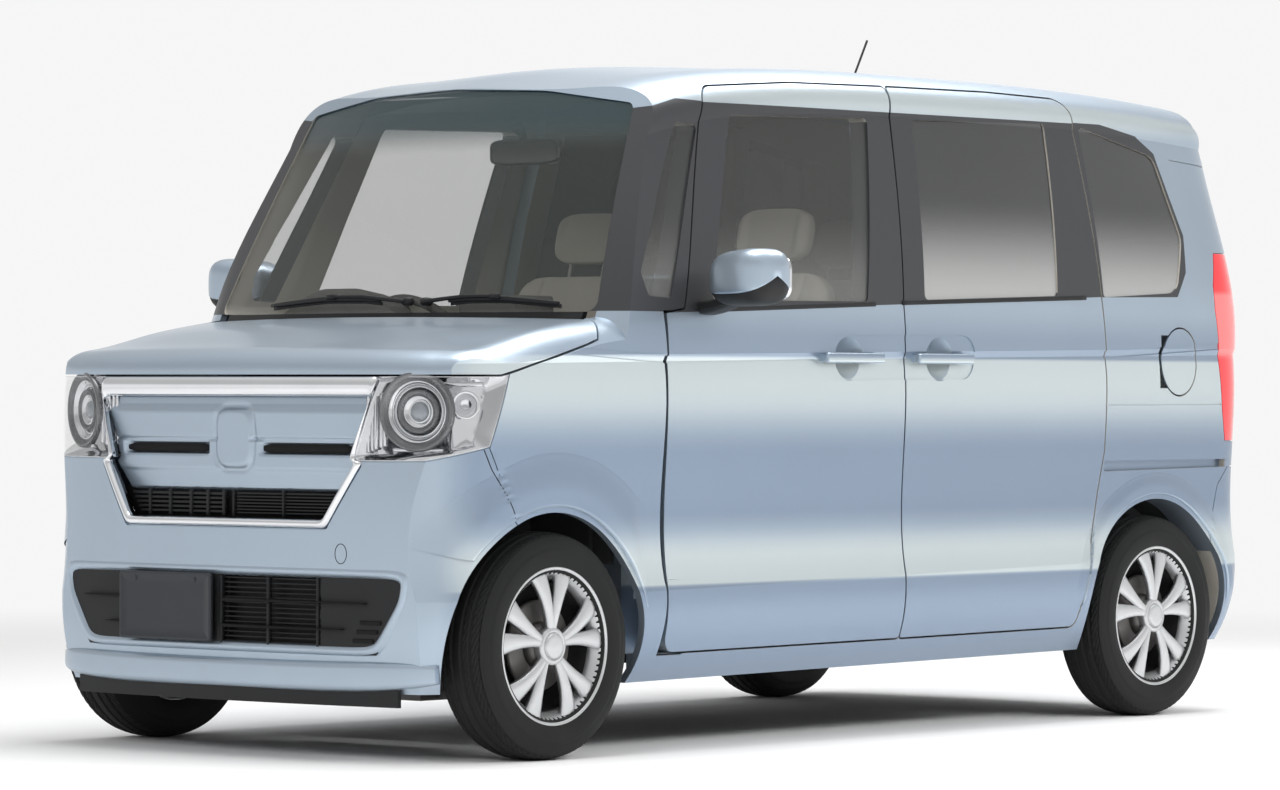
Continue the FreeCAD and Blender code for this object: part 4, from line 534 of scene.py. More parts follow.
def swelled(section, across, up):
    # a section for each station, scaled across and up
    return section[None] * np.stack([across, up], -1)[:, None]


def polyline(points, steps):
    # points along a broken line, as many on each of its parts
    points = np.array(points, float)
    t, corners = np.linspace(0, 1, steps), np.linspace(0, 1, len(points))
    return np.stack([np.interp(t, corners, column) for column in points.T], -1)


def smoothStep(value, start, stop):
    t = np.clip((value - start) / (stop - start), 0, 1)
    return t * t * (3 - 2 * t)


wheel = {"x": 0.6525, "z": 0.27855, "front": -1.2775, "rear": 1.2425, "radius": 0.27855, "steps": 360,
         "grooves": (-0.041, -0.0145, 0.0145, 0.041), "grooveDepth": 0.0062, "blocks": 72, "sipeDepth": 0.004,
         "spokePairs": 5, "spokeSpread": 15.0, "spokeStart": 0.040, "spokeEnd": 0.1835, "coverFace": 0.0665,
         "sidewall": [(0.058, 0.1785), (0.066, 0.1795), (0.0695, 0.184), (0.0712, 0.190), (0.0742, 0.199),
                      (0.0763, 0.2085), (0.0773, 0.219), (0.0775, 0.229), (0.0768, 0.2375), (0.0762, 0.2383),
                      (0.0758, 0.2425), (0.0735, 0.2515), (0.0705, 0.2600), (0.0668, 0.2668)],
         "rim": [(0.052, 0.170), (0.0600, 0.1760), (0.0640, 0.1800), (0.0655, 0.1835), (0.0690, 0.1850),
                 (0.0722, 0.1875), (0.0735, 0.1905), (0.0728, 0.1932), (0.0700, 0.1940), (0.0660, 0.1905),
                 (0.0600, 0.1850), (-0.0600, 0.1790), (-0.0655, 0.1860), (-0.0690, 0.1860), (-0.0640, 0.1735),
                 (-0.0400, 0.1690), (0.030, 0.1600), (0.045, 0.1640)],
         "hub": [(0.0400, 0.0005), (0.0400, 0.047), (0.0630, 0.047), (0.0672, 0.044), (0.0685, 0.038),
                 (0.0678, 0.0335), (0.0650, 0.0325), (0.0650, 0.0315), (0.0705, 0.0308), (0.0722, 0.0285),
                 (0.0728, 0.020), (0.0732, 0.0005)],
         "disc": [(0.020, 0.0005), (0.020, 0.108), (0.016, 0.112), (0.006, 0.112), (0.002, 0.108), (0.002, 0.0005)],
         "flange": [(0.044, 0.0005), (0.044, 0.050), (0.0385, 0.056), (0.020, 0.060), (0.019, 0.0005)],
         "barrel": [(-0.006, 0.0175), (-0.006, 0.150), (0.0, 0.1565), (0.035, 0.1588), (0.036, 0.1570),
                    (0.002, 0.1545), (0.0015, 0.0175)]}


def treadedTyre():
    # radius of the crown falls off with a power of the way across; grooves and slanted sipes are cut into it
    crownX = np.linspace(-0.063, 0.063, 85)
    crownR = wheel["radius"] - 0.0082 * np.abs(crownX / 0.063) ** 3.2
    right = np.array(wheel["sidewall"])
    profile = np.concatenate([right[::-1] * (-1, 1), np.stack([crownX, crownR], -1), right])
    grid, faces = turned(profile, wheel["steps"])
    x = profile[:, 0][None]
    angle = np.linspace(0, 2 * np.pi, wheel["steps"], endpoint=False)[:, None]
    depth = np.zeros(grid.shape[:2])
    for place in wheel["grooves"]:
        depth = np.maximum(depth, wheel["grooveDepth"] * np.clip(1.0 - (np.abs(x - place) / 0.0042) ** 4, 0, 1))
    slant = angle + x * 9.0 * np.sign(x)
    cut = np.abs(((slant * wheel["blocks"] / (2 * np.pi)) % 1.0) - 0.5) < 0.13
    for inner, outer, share in ((0.046, 0.066, 1.0), (0.019, 0.034, 0.7)):      # shoulders, then ribs
        depth = np.maximum(depth, wheel["sipeDepth"] * share * cut * ((np.abs(x) > inner) & (np.abs(x) < outer)))
    radius = np.hypot(grid[..., 1], grid[..., 2])
    grid[..., 1:] *= ((radius - depth) / radius)[..., None]
    return grid, faces


def spokeLoops(middle, lean):
    # a spoke's outer face: along it t from hub to rim, across it s; it falls off at its edges and bows along its length
    t = np.linspace(0, 1, 18)[:, None]
    s = np.linspace(-1, 1, 9)[None]
    radius = wheel["spokeStart"] + (wheel["spokeEnd"] - wheel["spokeStart"]) * t
    centreLine = math.radians(middle) + math.radians(lean) * (0.30 + 0.70 * t ** 0.85)
    width = 0.0115 + 0.0085 * t + 0.009 * t ** 3
    angle = centreLine + s * width / radius
    x = wheel["coverFace"] + 0.0035 * np.sin(np.pi * t) - 0.0035 * t ** 4 - 0.0052 * np.abs(s) ** 3.0
    front = np.stack([np.broadcast_to(x, angle.shape), radius * np.cos(angle), radius * np.sin(angle)], -1)
    return np.concatenate([front, (front - (0.011, 0, 0))[:, ::-1]], axis=1)


def wheelParts():
    # the spoked cover, the dark barrel behind it, and the brake disc seen between the spokes
    cover, brake, barrel = Build(), Build(), Build()
    for pair in range(wheel["spokePairs"]):
        for lean in (-wheel["spokeSpread"], wheel["spokeSpread"]):
            cover.addLoops(spokeLoops(90.0 + pair * 360.0 / wheel["spokePairs"], lean))
    cover.addTurned(wheel["rim"], 128, closed=True)
    cover.addTurned(wheel["hub"], 64)
    brake.addTurned(wheel["disc"], 72)
    brake.addTurned(wheel["flange"], 72)
    barrel.addTurned(wheel["barrel"], 72, closed=True)
    return [(name, np.concatenate(made.points), made.faces, finish) for name, made, finish in
            (("cover", cover, silver), ("brake", brake, iron), ("barrel", barrel, softBlack))]


def placeWheel(points, side, y):
    # turn half round for the right side, so outboard stays outboard
    points = np.asarray(points, float).reshape(-1, 3).copy()
    if side < 0:
        points[:, 0] *= -1
        points[:, 1] *= -1
    return points + np.array([side * wheel["x"], y, wheel["z"]])


tyreGrid, tyreFaces = treadedTyre()
wheelShapes = wheelParts()
for end in ("front", "rear"):
    for label, side in (("left", 1), ("right", -1)):
        corner, suffix, body = f"{end}_{label}", end.title() + label.title(), f"wheel_{end}_{label}"
        makePiece("tyre" + suffix, placeWheel(tyreGrid, side, wheel[end]), tyreFaces, rubber, body,
                  replaced=("tyre_" + corner,), slot="tyre")
        for name, points, faces, finish in wheelShapes:
            more = {"replaced": ("rim_" + corner,), "slot": "silver"} if name == "cover" else {}
            fixNormals(makePiece(name + suffix, placeWheel(points, side, wheel[end]), faces, finish, body, **more))
print("wheels built")


def readPoints(mesh):
    flat = np.empty(len(mesh.vertices) * 3)
    mesh.vertices.foreach_get("co", flat)
    return flat.reshape(-1, 3)


def readTriangles(mesh):
    mesh.calc_loop_triangles()
    flat = np.empty(len(mesh.loop_triangles) * 3, int)
    mesh.loop_triangles.foreach_get("vertices", flat)
    return flat.reshape(-1, 3)


def surfaceTree(*names):
    return treeOf([nodes[name].data for name in names])


def treeOf(meshes):
    points, faces, start = [], [], 0
    for mesh in meshes:
        points.append(readPoints(mesh))
        faces.append(readTriangles(mesh) + start)
        start += len(points[-1])
    return BVHTree.FromPolygons(np.concatenate(points).tolist(), np.concatenate(faces).tolist())


frontTree = surfaceTree("front_bumper", "grille_chrome", "grille_panel", "grille_mesh", "lower_grille", "bonnet",
                        "headlamps", "front_fenders")
sideTree = surfaceTree("body_sides", "front_bumper", "door_left", "sliding_doors", "front_fenders", "roof_panel",
                       "rear_bumper", "tail_lamps")
rearTree = surfaceTree("tailgate", "tailgate_glass", "rear_bumper", "body_sides")


def castOn(tree, place, towards):
    return tree.ray_cast(Vector(place), Vector(towards))[0]


def frontAt(x, z):
    hit = castOn(frontTree, (x, -3, z), (0, 1, 0))
    return np.array(hit if hit is not None else (x, 0.0, z))


def skinAt(y, z, tree=sideTree):
    # how far out the side is, or not a number where the ray meets nothing near it
    hit = castOn(tree, (3, y, z), (-1, 0, 0))
    return hit.x if hit is not None and hit.x > 0.45 else np.nan


def heightOn(tree, x, y):
    hit = castOn(tree, (x, y, 3), (0, 0, -1))
    return hit.z if hit is not None else 1.0


def rearAt(x, z):
    return np.array(castOn(rearTree, (x, 3, z), (0, -1, 0)))


def addBox(made, low, high, bevel):
    # a box with its long edges cut back, as four loops along Y
    (x0, y0, z0), (x1, y1, z1) = low, high
    loops = []
    for y, inset in ((y0, bevel), (y0 + bevel, 0.0), (y1 - bevel, 0.0), (y1, bevel)):
        corner = roundedLoop(x1 - x0 - 2 * inset, z1 - z0 - 2 * inset, max(bevel * 0.8, 0.0003), 3)
        across, up = corner.T
        loops.append(np.stack([across + (x0 + x1) / 2, np.full(len(corner), y), up + (z0 + z1) / 2], -1))
    made.addLoops(loops)


def addPlate(made, rows, look, y, slope=0.0):
    # rounded rectangles that shrink by an inset at each depth, on a face that slopes across
    px, pz, wide, tall = look
    loops = []
    for depth, inset in rows:
        corner = roundedLoop(wide - 2 * inset, tall - 2 * inset, max(0.010 - inset, 0.002), 6)
        loops.append(np.stack([corner[:, 0] + px, y + depth + slope * corner[:, 0], corner[:, 1] + pz], -1))
    made.addLoops(loops)


def halves(made, name, finish, body, **more):
    # the same shapes again on the other side
    left = np.concatenate(made.points)
    faces = made.faces + [[i + len(left) for i in face][::-1] for face in made.faces]
    return makePiece(name, np.concatenate([left, left * (-1, 1, 1)]), faces, finish, body, **more)


headlamp = {"bowl": (0.578, 0.849), "depth": 0.020, "tilt": 20.0, "ring": 0.092, "bezel": 0.047,
            "side": (0.700, 0.866), "sideTilt": 50.0, "ball": 0.0225, "ballDepth": 0.012, "facets": 26,
            "facetWide": 0.0030, "uprights": 5, "uprightFrom": 0.436, "uprightStep": 0.0135,
            "rails": ((0.757, 0.010), (0.915, 0.012)),
            # profiles of (depth, distance outside the ring's or the bezel's radius)
            "outerRing": [(-0.010, 0.005), (0.002, 0.0045), (0.0045, 0.002), (0.004, -0.004), (0.0, -0.009),
                          (-0.006, -0.0135), (-0.007, -0.0165)],
            "bowlRing": [(-0.007, -0.0160), (-0.003, -0.0175), (-0.004, -0.0200), (-0.014, -0.0260)],
            "bowlFoot": [(-0.026, 0.011), (-0.028, 0.006)],
            "innerRing": [(-0.030, 0.007), (-0.010, 0.0055), (-0.006, 0.003), (-0.006, 0.0), (-0.009, -0.0045),
                          (-0.014, -0.008)],
            "tube": [(-0.014, -0.0075), (-0.010, -0.0095), (-0.011, -0.0125), (-0.018, -0.018), (-0.019, -0.0205),
                     (-0.017, -0.0215), (-0.020, -0.024)],
            "step": [(-0.020, 0.0035), (-0.015, 0.0020), (-0.0155, -0.001), (-0.022, -0.004)],
            "sideBowl": [(0.008, 0.034), (0.010, 0.031), (0.004, 0.026), (-0.008, 0.018), (-0.014, 0.008),
                         (-0.016, 0.0008)]}


def lampShells():
    # outer faces become a thin lens; the others, seen from inside, become the bright housing
    co, tris = readPoints(nodes["headlamps"].data), readTriangles(nodes["headlamps"].data)
    corners = co[tris]
    normals = np.cross(corners[:, 1] - corners[:, 0], corners[:, 2] - corners[:, 0])
    normals /= np.maximum(np.linalg.norm(normals, axis=1), 1e-12)[:, None]
    sides = np.sign(corners.mean(axis=1)[:, 0])
    outward = np.stack([sides * 0.55, np.full(len(sides), -0.83), 0 * sides], -1)
    facing = (normals * outward).sum(axis=1) > 0.35
    lens = makePiece("headlampLens", co, tris[facing], lensClear, "body", replaced=("headlamps",), slot="clear_lens")
    fixNormals(lens, 1e-5)
    addModifier(lens, "SOLIDIFY", thickness=0.0028, offset=-1.0)
    housing = makePiece("headlampHousing", co, tris[~facing][:, ::-1], lampChrome, "body", slot="chrome")
    work = bmesh.new()
    work.from_mesh(housing.data)
    bmesh.ops.remove_doubles(work, verts=work.verts, dist=1e-5)
    bmesh.ops.delete(work, geom=[v for v in work.verts if not v.link_faces], context="VERTS")
    work.to_mesh(housing.data)
    work.free()
    addModifier(housing, "SOLIDIFY", thickness=0.0015, offset=1.0)


def alongY(grid, centre, tilt=0.0):
    # turn a shape revolved about X so that it looks along -Y, then yaw it by the tilt
    c, s = math.cos(tilt), math.sin(tilt)
    x, y, z = grid[..., 1], -grid[..., 0], grid[..., 2]
    return np.stack([centre[0] + c * x - s * y, centre[1] + s * x + c * y, centre[2] + z], -1)


def lampOptics():
    bright, matt, ball, ribs = Build(), Build(), Build(), Build()
    centre = frontAt(*headlamp["bowl"]) + (0, headlamp["depth"], 0)
    tilt = math.radians(headlamp["tilt"])
    r, c = headlamp["ring"], headlamp["bezel"]

    def ring(key, radius, forward=0.0):
        return [(depth + forward, radius + out) for depth, out in headlamp[key]]

    def disc(target, profile, steps, place=centre, turn=tilt):
        target.addTurned(profile, steps, lambda grid: alongY(grid, place, turn))

    disc(matt, ring("outerRing", r), 96)
    disc(bright, ring("bowlRing", r) + ring("bowlFoot", c), 96)
    for share in (0.0, 0.5):       # two steps in the bowl catch the light
        disc(bright, ring("step", c + 0.006 + (r - c - 0.026) * (0.35 + share * 0.8), 0.008 * share), 96)
    disc(matt, ring("innerRing", c), 80)
    disc(bright, ring("tube", c), 72)
    angles = np.linspace(0, np.pi / 2, 9)
    dome = [-0.020 + headlamp["ballDepth"] * np.sin(angles), headlamp["ball"] * np.cos(angles) + 0.0002]
    disc(ball, np.stack(dome, -1), 48)
    inner, outer, wide = c + 0.012, r - 0.021, headlamp["facetWide"]
    near = np.array([[-0.0235, inner, -wide], [-0.0115, outer, -wide * 1.4], [-0.0115, outer, wide * 1.4],
                     [-0.0235, inner, wide]])
    across = np.concatenate([near, near - np.array([0.0040, 0.0075, 0.0075, 0.0040])[:, None] * (1, 0, 0)])
    for angle in np.linspace(0, 2 * np.pi, headlamp["facets"], endpoint=False):         # short blades round the bowl
        co, si = math.cos(angle), math.sin(angle)
        x, y, z = across.T
        ribs.add(alongY(np.stack([x, y * co - z * si, y * si + z * co], -1), centre, tilt),
                 [(0, 1, 2, 3), (4, 7, 6, 5), (0, 4, 5, 1), (3, 2, 6, 7), (1, 5, 6, 2), (0, 3, 7, 4)])
    sx, sz = headlamp["side"]
    place = frontAt(sx - 0.010, sz) + (-0.022, 0.026, 0)
    disc(bright, headlamp["sideBowl"], 56, place, math.radians(headlamp["sideTilt"]))
    for step in range(headlamp["uprights"]):           # upright facets between the bowl and the inner end
        fx = headlamp["uprightFrom"] + headlamp["uprightStep"] * step
        front = frontAt(fx, 0.83)[1] + 0.016 + 0.004 * (step % 2)
        addBox(ribs, (fx - 0.0052, front, 0.748 + 0.004 * step),
               (fx + 0.0052, front + 0.022, 0.905 - 0.004 * step), 0.0030)
    for z0, tall in headlamp["rails"]:
        path = np.linspace(frontAt(0.520, z0) + (0, 0.024, 0), frontAt(0.712, z0) + (-0.024, 0.020, 0), 10)
        ribs.addTube(path, roundedLoop(0.016, tall, 0.003, 3))
    halves(bright, "headlampReflectors", lampChrome, "body", slot="chrome")
    halves(matt, "headlampBezels", bezelGrey, "body")
    halves(ball, "headlampProjectors", projectorGlass, "body")
    fixNormals(halves(ribs, "headlampFacets", lampChrome, "body", slot="chrome"))


lampShells()
lampOptics()
print("headlamps built")

grille = {"outer": [(-480, 933), (480, 933), (424, 735), (452, 726), (345, 564), (-345, 564), (-452, 726), (-424, 735)],
          "inner": [(-466, 885), (466, 885), (410, 735), (424, 722), (334, 588), (-334, 588), (-424, 722), (-410, 735)],
          "bulge": 0.011, "meshTop": 0.652, "meshBack": 0.034, "slats": 7, "shutters": 5,
          "pad": (0.0, 0.782, 0.062, 0.072),
          # depth behind the front by height: bevel, flat bar, step, slot, second bar, long lower bevel
          "heights": [0.650, 0.660, 0.700, 0.7065, 0.712, 0.736, 0.741, 0.7455, 0.768, 0.772, 0.779, 0.785, 0.842,
                      0.849, 0.866, 0.889],
          "depths": [0.022, 0.012, 0.0055, 0.0025, 0.0015, 0.001, 0.003, 0.016, 0.016, 0.009, 0.0085, 0.0035, 0.0,
                     0.001, 0.010, 0.014]}
opening = {"low": 0.268, "halfLow": 0.500, "fins": 14, "vent": (-0.015, 0.318), "back": 0.030,
           "plate": (-0.19, 0.365, 0.325, 0.168), "screw": (0.105, 0.018)}
sampleX = np.linspace(-0.40, 0.40, 41)
frontCurve = np.polyfit(sampleX, [frontAt(x, 0.84)[1] for x in sampleX], 4)
lowerCurve = np.polyfit(sampleX, [frontAt(x, 0.47)[1] for x in sampleX], 4)


def onCurve(curve, xs, z, proud):
    return np.stack([xs, np.polyval(curve, xs) + proud, np.full(len(xs), z)], -1)


def eased(loop):
    # each point drawn a quarter of the way to each neighbour
    return (np.roll(loop, 1, 0) + 2 * loop + np.roll(loop, -1, 0)) / 4


def alongOutline(corners, counts):
    # points spread evenly on each edge of an outline, so two outlines with as many corners can be joined
    corners = np.array(corners, float) / 1000
    spans = [np.linspace(corners[i], corners[(i + 1) % len(corners)], n, endpoint=False) for i, n in enumerate(counts)]
    return eased(np.concatenate(spans))


def chromeFrame():
    # ruled between the outer and the inner outline, bulging forward with the sine of the way across
    counts = [60, 14, 4, 16, 50, 16, 4, 14]
    outer, inner = alongOutline(grille["outer"], counts), alongOutline(grille["inner"], counts)
    t = np.linspace(0, 1, 9)[None, :, None]
    xz = outer[:, None] * (1 - t) + inner[:, None] * t
    skin = np.array([[frontAt(a, b)[1] for a, b in row] for row in xz])
    for _ in range(6):      # evened along the outline, so that no corner of what is behind pushes it out
        skin = eased(skin)
    y = np.minimum(np.polyval(frontCurve, xz[..., 0]) + 0.004, skin + 0.002)
    y = y - grille["bulge"] * np.sin(np.pi * t[..., 0]) ** 0.8
    front = np.stack([xz[..., 0], y, xz[..., 1]], -1)
    back = front[:, ::-1].copy()
    back[..., 1] += 0.014
    made = Build()
    made.addGrid(np.concatenate([front, back], axis=1), wrapRows=True, wrapColumns=True)
    made.solid("grilleChrome", chrome, "body", replaced=("grille_chrome",), slot="chrome")


def innerHalf(z):
    # half width of the opening inside the chrome, by height
    return np.interp(z, [0.588, 0.722, 0.735, 0.885], [0.334, 0.424, 0.410, 0.466])


def grilleBars():
    # depth goes by height; the slots stop short of the middle, where a rounded pad stands
    z = np.unique(np.concatenate([grille["heights"], np.linspace(0.650, 0.889, 44)]))[:, None]
    u = np.linspace(-1, 1, 181)[None]
    x = u * (innerHalf(z) + 0.002)
    depth = np.interp(z, grille["heights"], grille["depths"]) + 0 * u
    flat = np.interp(z, [0.650, 0.700, 0.712, 0.842, 0.849, 0.889], [0.022, 0.0055, 0.0015, 0.0, 0.001, 0.014]) + 0 * u
    inSlot = smoothStep(np.abs(x), 0.085, 0.100) * (1 - smoothStep(np.abs(x), 0.385, 0.400))
    depth = np.where((z > 0.738) & (z < 0.776), flat + (depth - flat) * inSlot, depth)
    px, pz, pw, ph = grille["pad"]
    away = ((np.abs(x - px) / pw) ** 4 + (np.abs(z - pz) / ph) ** 4) ** 0.25
    pad = 1 - smoothStep(away, 0.86, 1.0)
    moat = smoothStep(away, 0.98, 1.04) * (1 - smoothStep(away, 1.10, 1.22))
    depth = depth * (1 - pad) - 0.003 * pad + 0.004 * moat
    grid = np.stack([x, np.polyval(frontCurve, x) + 0.010 + depth, z + 0 * u], -1)
    made = Build()
    made.addGrid(grid)
    bars = made.solid("grilleBars", paint, "body", replaced=("grille_panel",), slot="paint")
    addModifier(bars, "SOLIDIFY", thickness=0.003, offset=-1.0)
    # a matte black strip fills each slot: painted shade for the dark inside the slot opening
    slots = Build()
    for side in (-1, 1):
        xs = side * np.linspace(0.096, 0.389, 26)
        tall = 0.0215 * (1 - 0.55 * smoothStep(np.abs(xs), 0.365, 0.389))
        tall = tall * (1 - 0.45 * smoothStep(-np.abs(xs), -0.115, -0.096))
        section = swelled(roundedLoop(0.008, 1.0, 0.002, 3), np.ones(26), tall)
        slots.addTube(onCurve(frontCurve, xs, 0.7570, 0.0215), section)
    slots.solid("grilleSlotShade", softBlack, "body", slot="black_plastic")


def grilleMesh():
    # a dark tray behind shutters on the car's right and fine slats on its left
    made, bars = Build(), Build()
    z = np.linspace(0.562, grille["meshTop"] + 0.006, 12)[:, None]
    x = np.linspace(-1, 1, 61)[None] * (innerHalf(z) + 0.042)
    made.addGrid(np.stack([x, np.polyval(frontCurve, x) + grille["meshBack"], z + 0 * x], -1))
    tray = made.piece("grilleTray", softBlack, "body", replaced=("grille_mesh",), slot="black_plastic")
    addModifier(tray, "SOLIDIFY", thickness=0.003, offset=1.0)

    def rail(z, start, stop, tall, proud):
        path = onCurve(frontCurve, np.linspace(start, stop, 40), z, proud)
        bars.addTube(path, roundedLoop(0.010, tall, 0.001, 3))

    low, high = 0.594, grille["meshTop"] - 0.002
    for z in np.linspace(low + 0.004, high - 0.004, grille["slats"]):
        rail(z, 0.004, float(innerHalf(z)) - 0.004, 0.0042, 0.018)
    for z in np.linspace(low + 0.006, high - 0.006, grille["shutters"]):
        rail(z, -float(innerHalf(z)) + 0.004, -0.030, 0.0062, 0.017)
    for x in (-0.300, -0.225, -0.150, -0.090, -0.034, 0.0, 0.170):
        y = float(np.polyval(frontCurve, x)) + 0.008
        wide = 0.0045 if x < 0 else 0.003
        addBox(bars, (x - wide, y, low - 0.004), (x + wide, y + 0.012, high + 0.004), 0.0012)
    bars.solid("grilleSlats", blackTrim, "body", slot="black_plastic")


def lowerPanel():
    # outline narrows below the middle; the vent part of the panel is sunk, and its rim stands forward
    z = np.unique(np.concatenate([np.linspace(0.262, 0.462, 60), [0.2755, 0.2775, 0.4465, 0.4485]]))[:, None]
    half = np.interp(z, [0.262, opening["low"], 0.392, 0.462], [0.497, opening["halfLow"] + 0.002, 0.579, 0.588])
    edges = np.array([-0.0165, -0.0135, 0.3165, 0.3195]) / 0.55       # both sides of each step of the vent
    x = np.unique(np.concatenate([np.linspace(-1, 1, 201), edges]))[None] * half
    start, stop = opening["vent"]
    sunk = smoothStep(x, start - 0.0015, start + 0.0015) * (1 - smoothStep(x, stop - 0.0015, stop + 0.0015))
    sunk = sunk * smoothStep(z, 0.2755, 0.2775) * (1 - smoothStep(z, 0.4465, 0.4485))
    y = np.polyval(lowerCurve, x) + 0.009 + opening["back"] * sunk
    made = Build()
    made.addGrid(np.stack([x, y, z + 0 * x], -1))
    panel = made.solid("lowerPanel", blackTrim, "body", replaced=("lower_grille",), slot="black_plastic")
    addModifier(panel, "SOLIDIFY", thickness=0.002, offset=-1.0)


def lowerParts():
    fins, blades, plate = Build(), Build(), Build()

    def rail(target, z, start, stop, deep, tall, proud, taper=1.0):
        section = swelled(roundedLoop(deep, tall, min(deep, tall) * 0.3, 3), np.ones(30), np.linspace(1.0, taper, 30))
        target.addTube(onCurve(lowerCurve, np.linspace(start, stop, 30), z, proud), section)

    start, stop = opening["vent"]
    for z in np.linspace(0.284, 0.440, opening["fins"]):
        rail(fins, z, start + 0.002, stop - 0.002, 0.012, 0.0042, 0.022)
    for x in (start + 0.004, 0.150, stop - 0.004):
        y = float(np.polyval(lowerCurve, x)) + 0.006
        addBox(fins, (x - 0.004, y, 0.278), (x + 0.004, y + 0.014, 0.446), 0.0014)
    for z, left, right in ((0.386, -0.505, 0.470), (0.322, -0.420, 0.400)):
        rail(blades, z, 0.0, right, 0.016, 0.0080, 0.001, 0.30)
        rail(blades, z, -0.340, left, 0.014, 0.0070, 0.002, 0.35)
    for z, left in ((0.296, 0.428), (0.318, 0.440), (0.340, 0.450)):
        rail(blades, z, left, left + 0.062, 0.006, 0.0100, 0.0078)
    px, pz, _, tall = opening["plate"]
    y = float(np.polyval(lowerCurve, px)) - 0.014
    slope = float(np.polyval(np.polyder(lowerCurve), px)) * 0.5
    addPlate(plate, [(0.012, 0.004), (0.012, 0.0), (0.0035, 0.0), (0.0008, 0.0012), (0.0, 0.0034), (0.0, 0.0075),
                     (0.0012, 0.0092), (0.0012, 0.03)], opening["plate"], y, slope)
    across, down = opening["screw"]
    for offset in (-across, across):      # the two plate screws
        head = (px + offset, y + slope * offset + 0.0008, pz + tall / 2 - down)
        plate.addTurned([(0.002, 0.0002), (0.002, 0.004), (0.0015, 0.0058), (0.0, 0.0068), (-0.002, 0.0070)], 24,
                        lambda grid: alongY(grid, head))
    fins.solid("lowerFins", blackTrim, "body", slot="black_plastic")
    blades.solid("lowerBlades", softBlack, "body", slot="black_plastic")
    plate.solid("plateFront", plateBlank, "body", slot="black_plastic")


def lowerRim():
    # body-colour rim with round corners between the panel and the bumper, bulging forward across its width
    def outline(grow):
        corners = [(-588 - grow, 462 + grow), (588 + grow, 462 + grow), (578 + grow, 392), (504 + grow, 266 - grow),
                   (-504 - grow, 266 - grow), (-578 - grow, 392)]
        loop = alongOutline(corners, [90, 14, 22, 80, 22, 14])
        for _ in range(14):
            loop = eased(loop)
        return loop

    t = np.linspace(0, 1, 9)[None, :, None]
    xz = outline(10.0)[:, None] * (1 - t) + outline(-17.0)[:, None] * t
    t = t[..., 0]
    front = np.polyval(lowerCurve, xz[..., 0])
    skin = np.array([[frontAt(a, b)[1]] for a, b in xz[:, 0]])
    skin = np.where(skin < front[:, :1] + 0.03, skin, front[:, :1])
    y = (skin + 0.003) * (1 - t) + (front + 0.0115) * t - 0.0095 * np.sin(np.pi * t) ** 0.9
    made = Build()
    made.addGrid(np.stack([xz[..., 0], y, xz[..., 1]], -1), wrapRows=True)
    rim = made.solid("lowerRim", paint, "body", slot="paint")
    addModifier(rim, "SOLIDIFY", thickness=0.002, offset=-1.0)


def chinRoll():
    # rolled lower edge of the bumper over the lip, thinner towards its ends
    xs = np.linspace(-0.646, 0.646, 110)
    y = np.array([frontAt(x, 0.245)[1] for x in np.clip(xs, -0.640, 0.640)])
    for _ in range(8):
        y[1:-1] = (y[:-2] + 2 * y[1:-1] + y[2:]) / 4
    path = np.stack([xs, y + 0.006, 0.206 + 0.012 * (np.abs(xs) / 0.64) ** 3], -1)
    full = np.clip(1 - (np.abs(xs) / 0.646) ** 8, 0, 1)
    section = swelled(roundedLoop(0.040, 0.074, 0.018, 7), 0.35 + 0.65 * full, 0.6 + 0.4 * full)
    made = Build()
    made.addTube(path, section)
    made.solid("chinRoll", paint, "body", slot="paint")


lowerRim()
chinRoll()
chromeFrame()
grilleBars()
grilleMesh()
lowerPanel()
lowerParts()
print("front openings built")

wipers = {"front": [[(0.118, 1.113), (-0.02, 1.123), (-0.17, 1.124), (-0.395, 1.113)],
                    [(0.178, 1.112), (0.30, 1.121), (0.42, 1.121), (0.560, 1.112)]],
          "armEnd": 24, "bladeStart": 8,
          "cap": [(-0.006, 0.012), (0.0, 0.016), (0.010, 0.0145), (0.014, 0.011), (0.0155, 0.0005)]}
shieldTree = surfaceTree("windshield", "cowl_panel")


def shieldAt(x, z, proud):
    return np.array(castOn(shieldTree, (x, -3, z), (0, 1, 0))) + (0, -proud, proud * 0.5)


def wiperParts():
    made = Build()
    armEnd = wipers["armEnd"]
    for points in wipers["front"]:
        proud = 0.014 + 0.008 * np.sin(np.pi * np.linspace(0, 1, 40))
        path = np.array([shieldAt(x, z, out) for (x, z), out in zip(polyline(points, 40), proud)])
        section = roundedLoop(0.013, 0.009, 0.003, 4)
        section = swelled(section, np.linspace(1.25, 0.7, armEnd), np.linspace(1.2, 0.8, armEnd))
        made.addTube(path[:armEnd] + (0, -0.006, 0.004), section)
        blade = path[wipers["bladeStart"]:] + (0, 0.001, -0.002)
        swell = 0.35 + 0.65 * np.sin(np.pi * np.linspace(0.04, 0.96, len(blade))) ** 0.35
        made.addTube(blade, swelled(roundedLoop(0.011, 0.013, 0.003, 4), swell, swell))
        made.addTube(blade + (0, 0.008, -0.007), roundedLoop(0.004, 0.010, 0.001, 3))
        made.addTurned(wipers["cap"], 32, lambda grid: np.roll(grid, -1, axis=-1) + path[0] + (0, 0.006, 0))
        joint = path[armEnd - 1] + (0, -0.006, 0.003)
        addBox(made, joint - (0.016, 0.007, 0.007), joint + (0.016, 0.007, 0.007), 0.003)
    made.solid("wiperArms", blackTrim, "body", replaced=("wipers",), slot="black_plastic")


mirror = {"centre": (0.882, -0.728, 1.186), "size": (0.205, 0.150, 0.142), "steps": 48, "lean": -8.0,
          "arm": [(-0.045, 0.004, -0.050), (-0.085, 0.002, -0.066), (-0.125, 0.0, -0.074), (-0.150, 0.0, -0.076),
                  (-0.168, 0.0, -0.076)]}


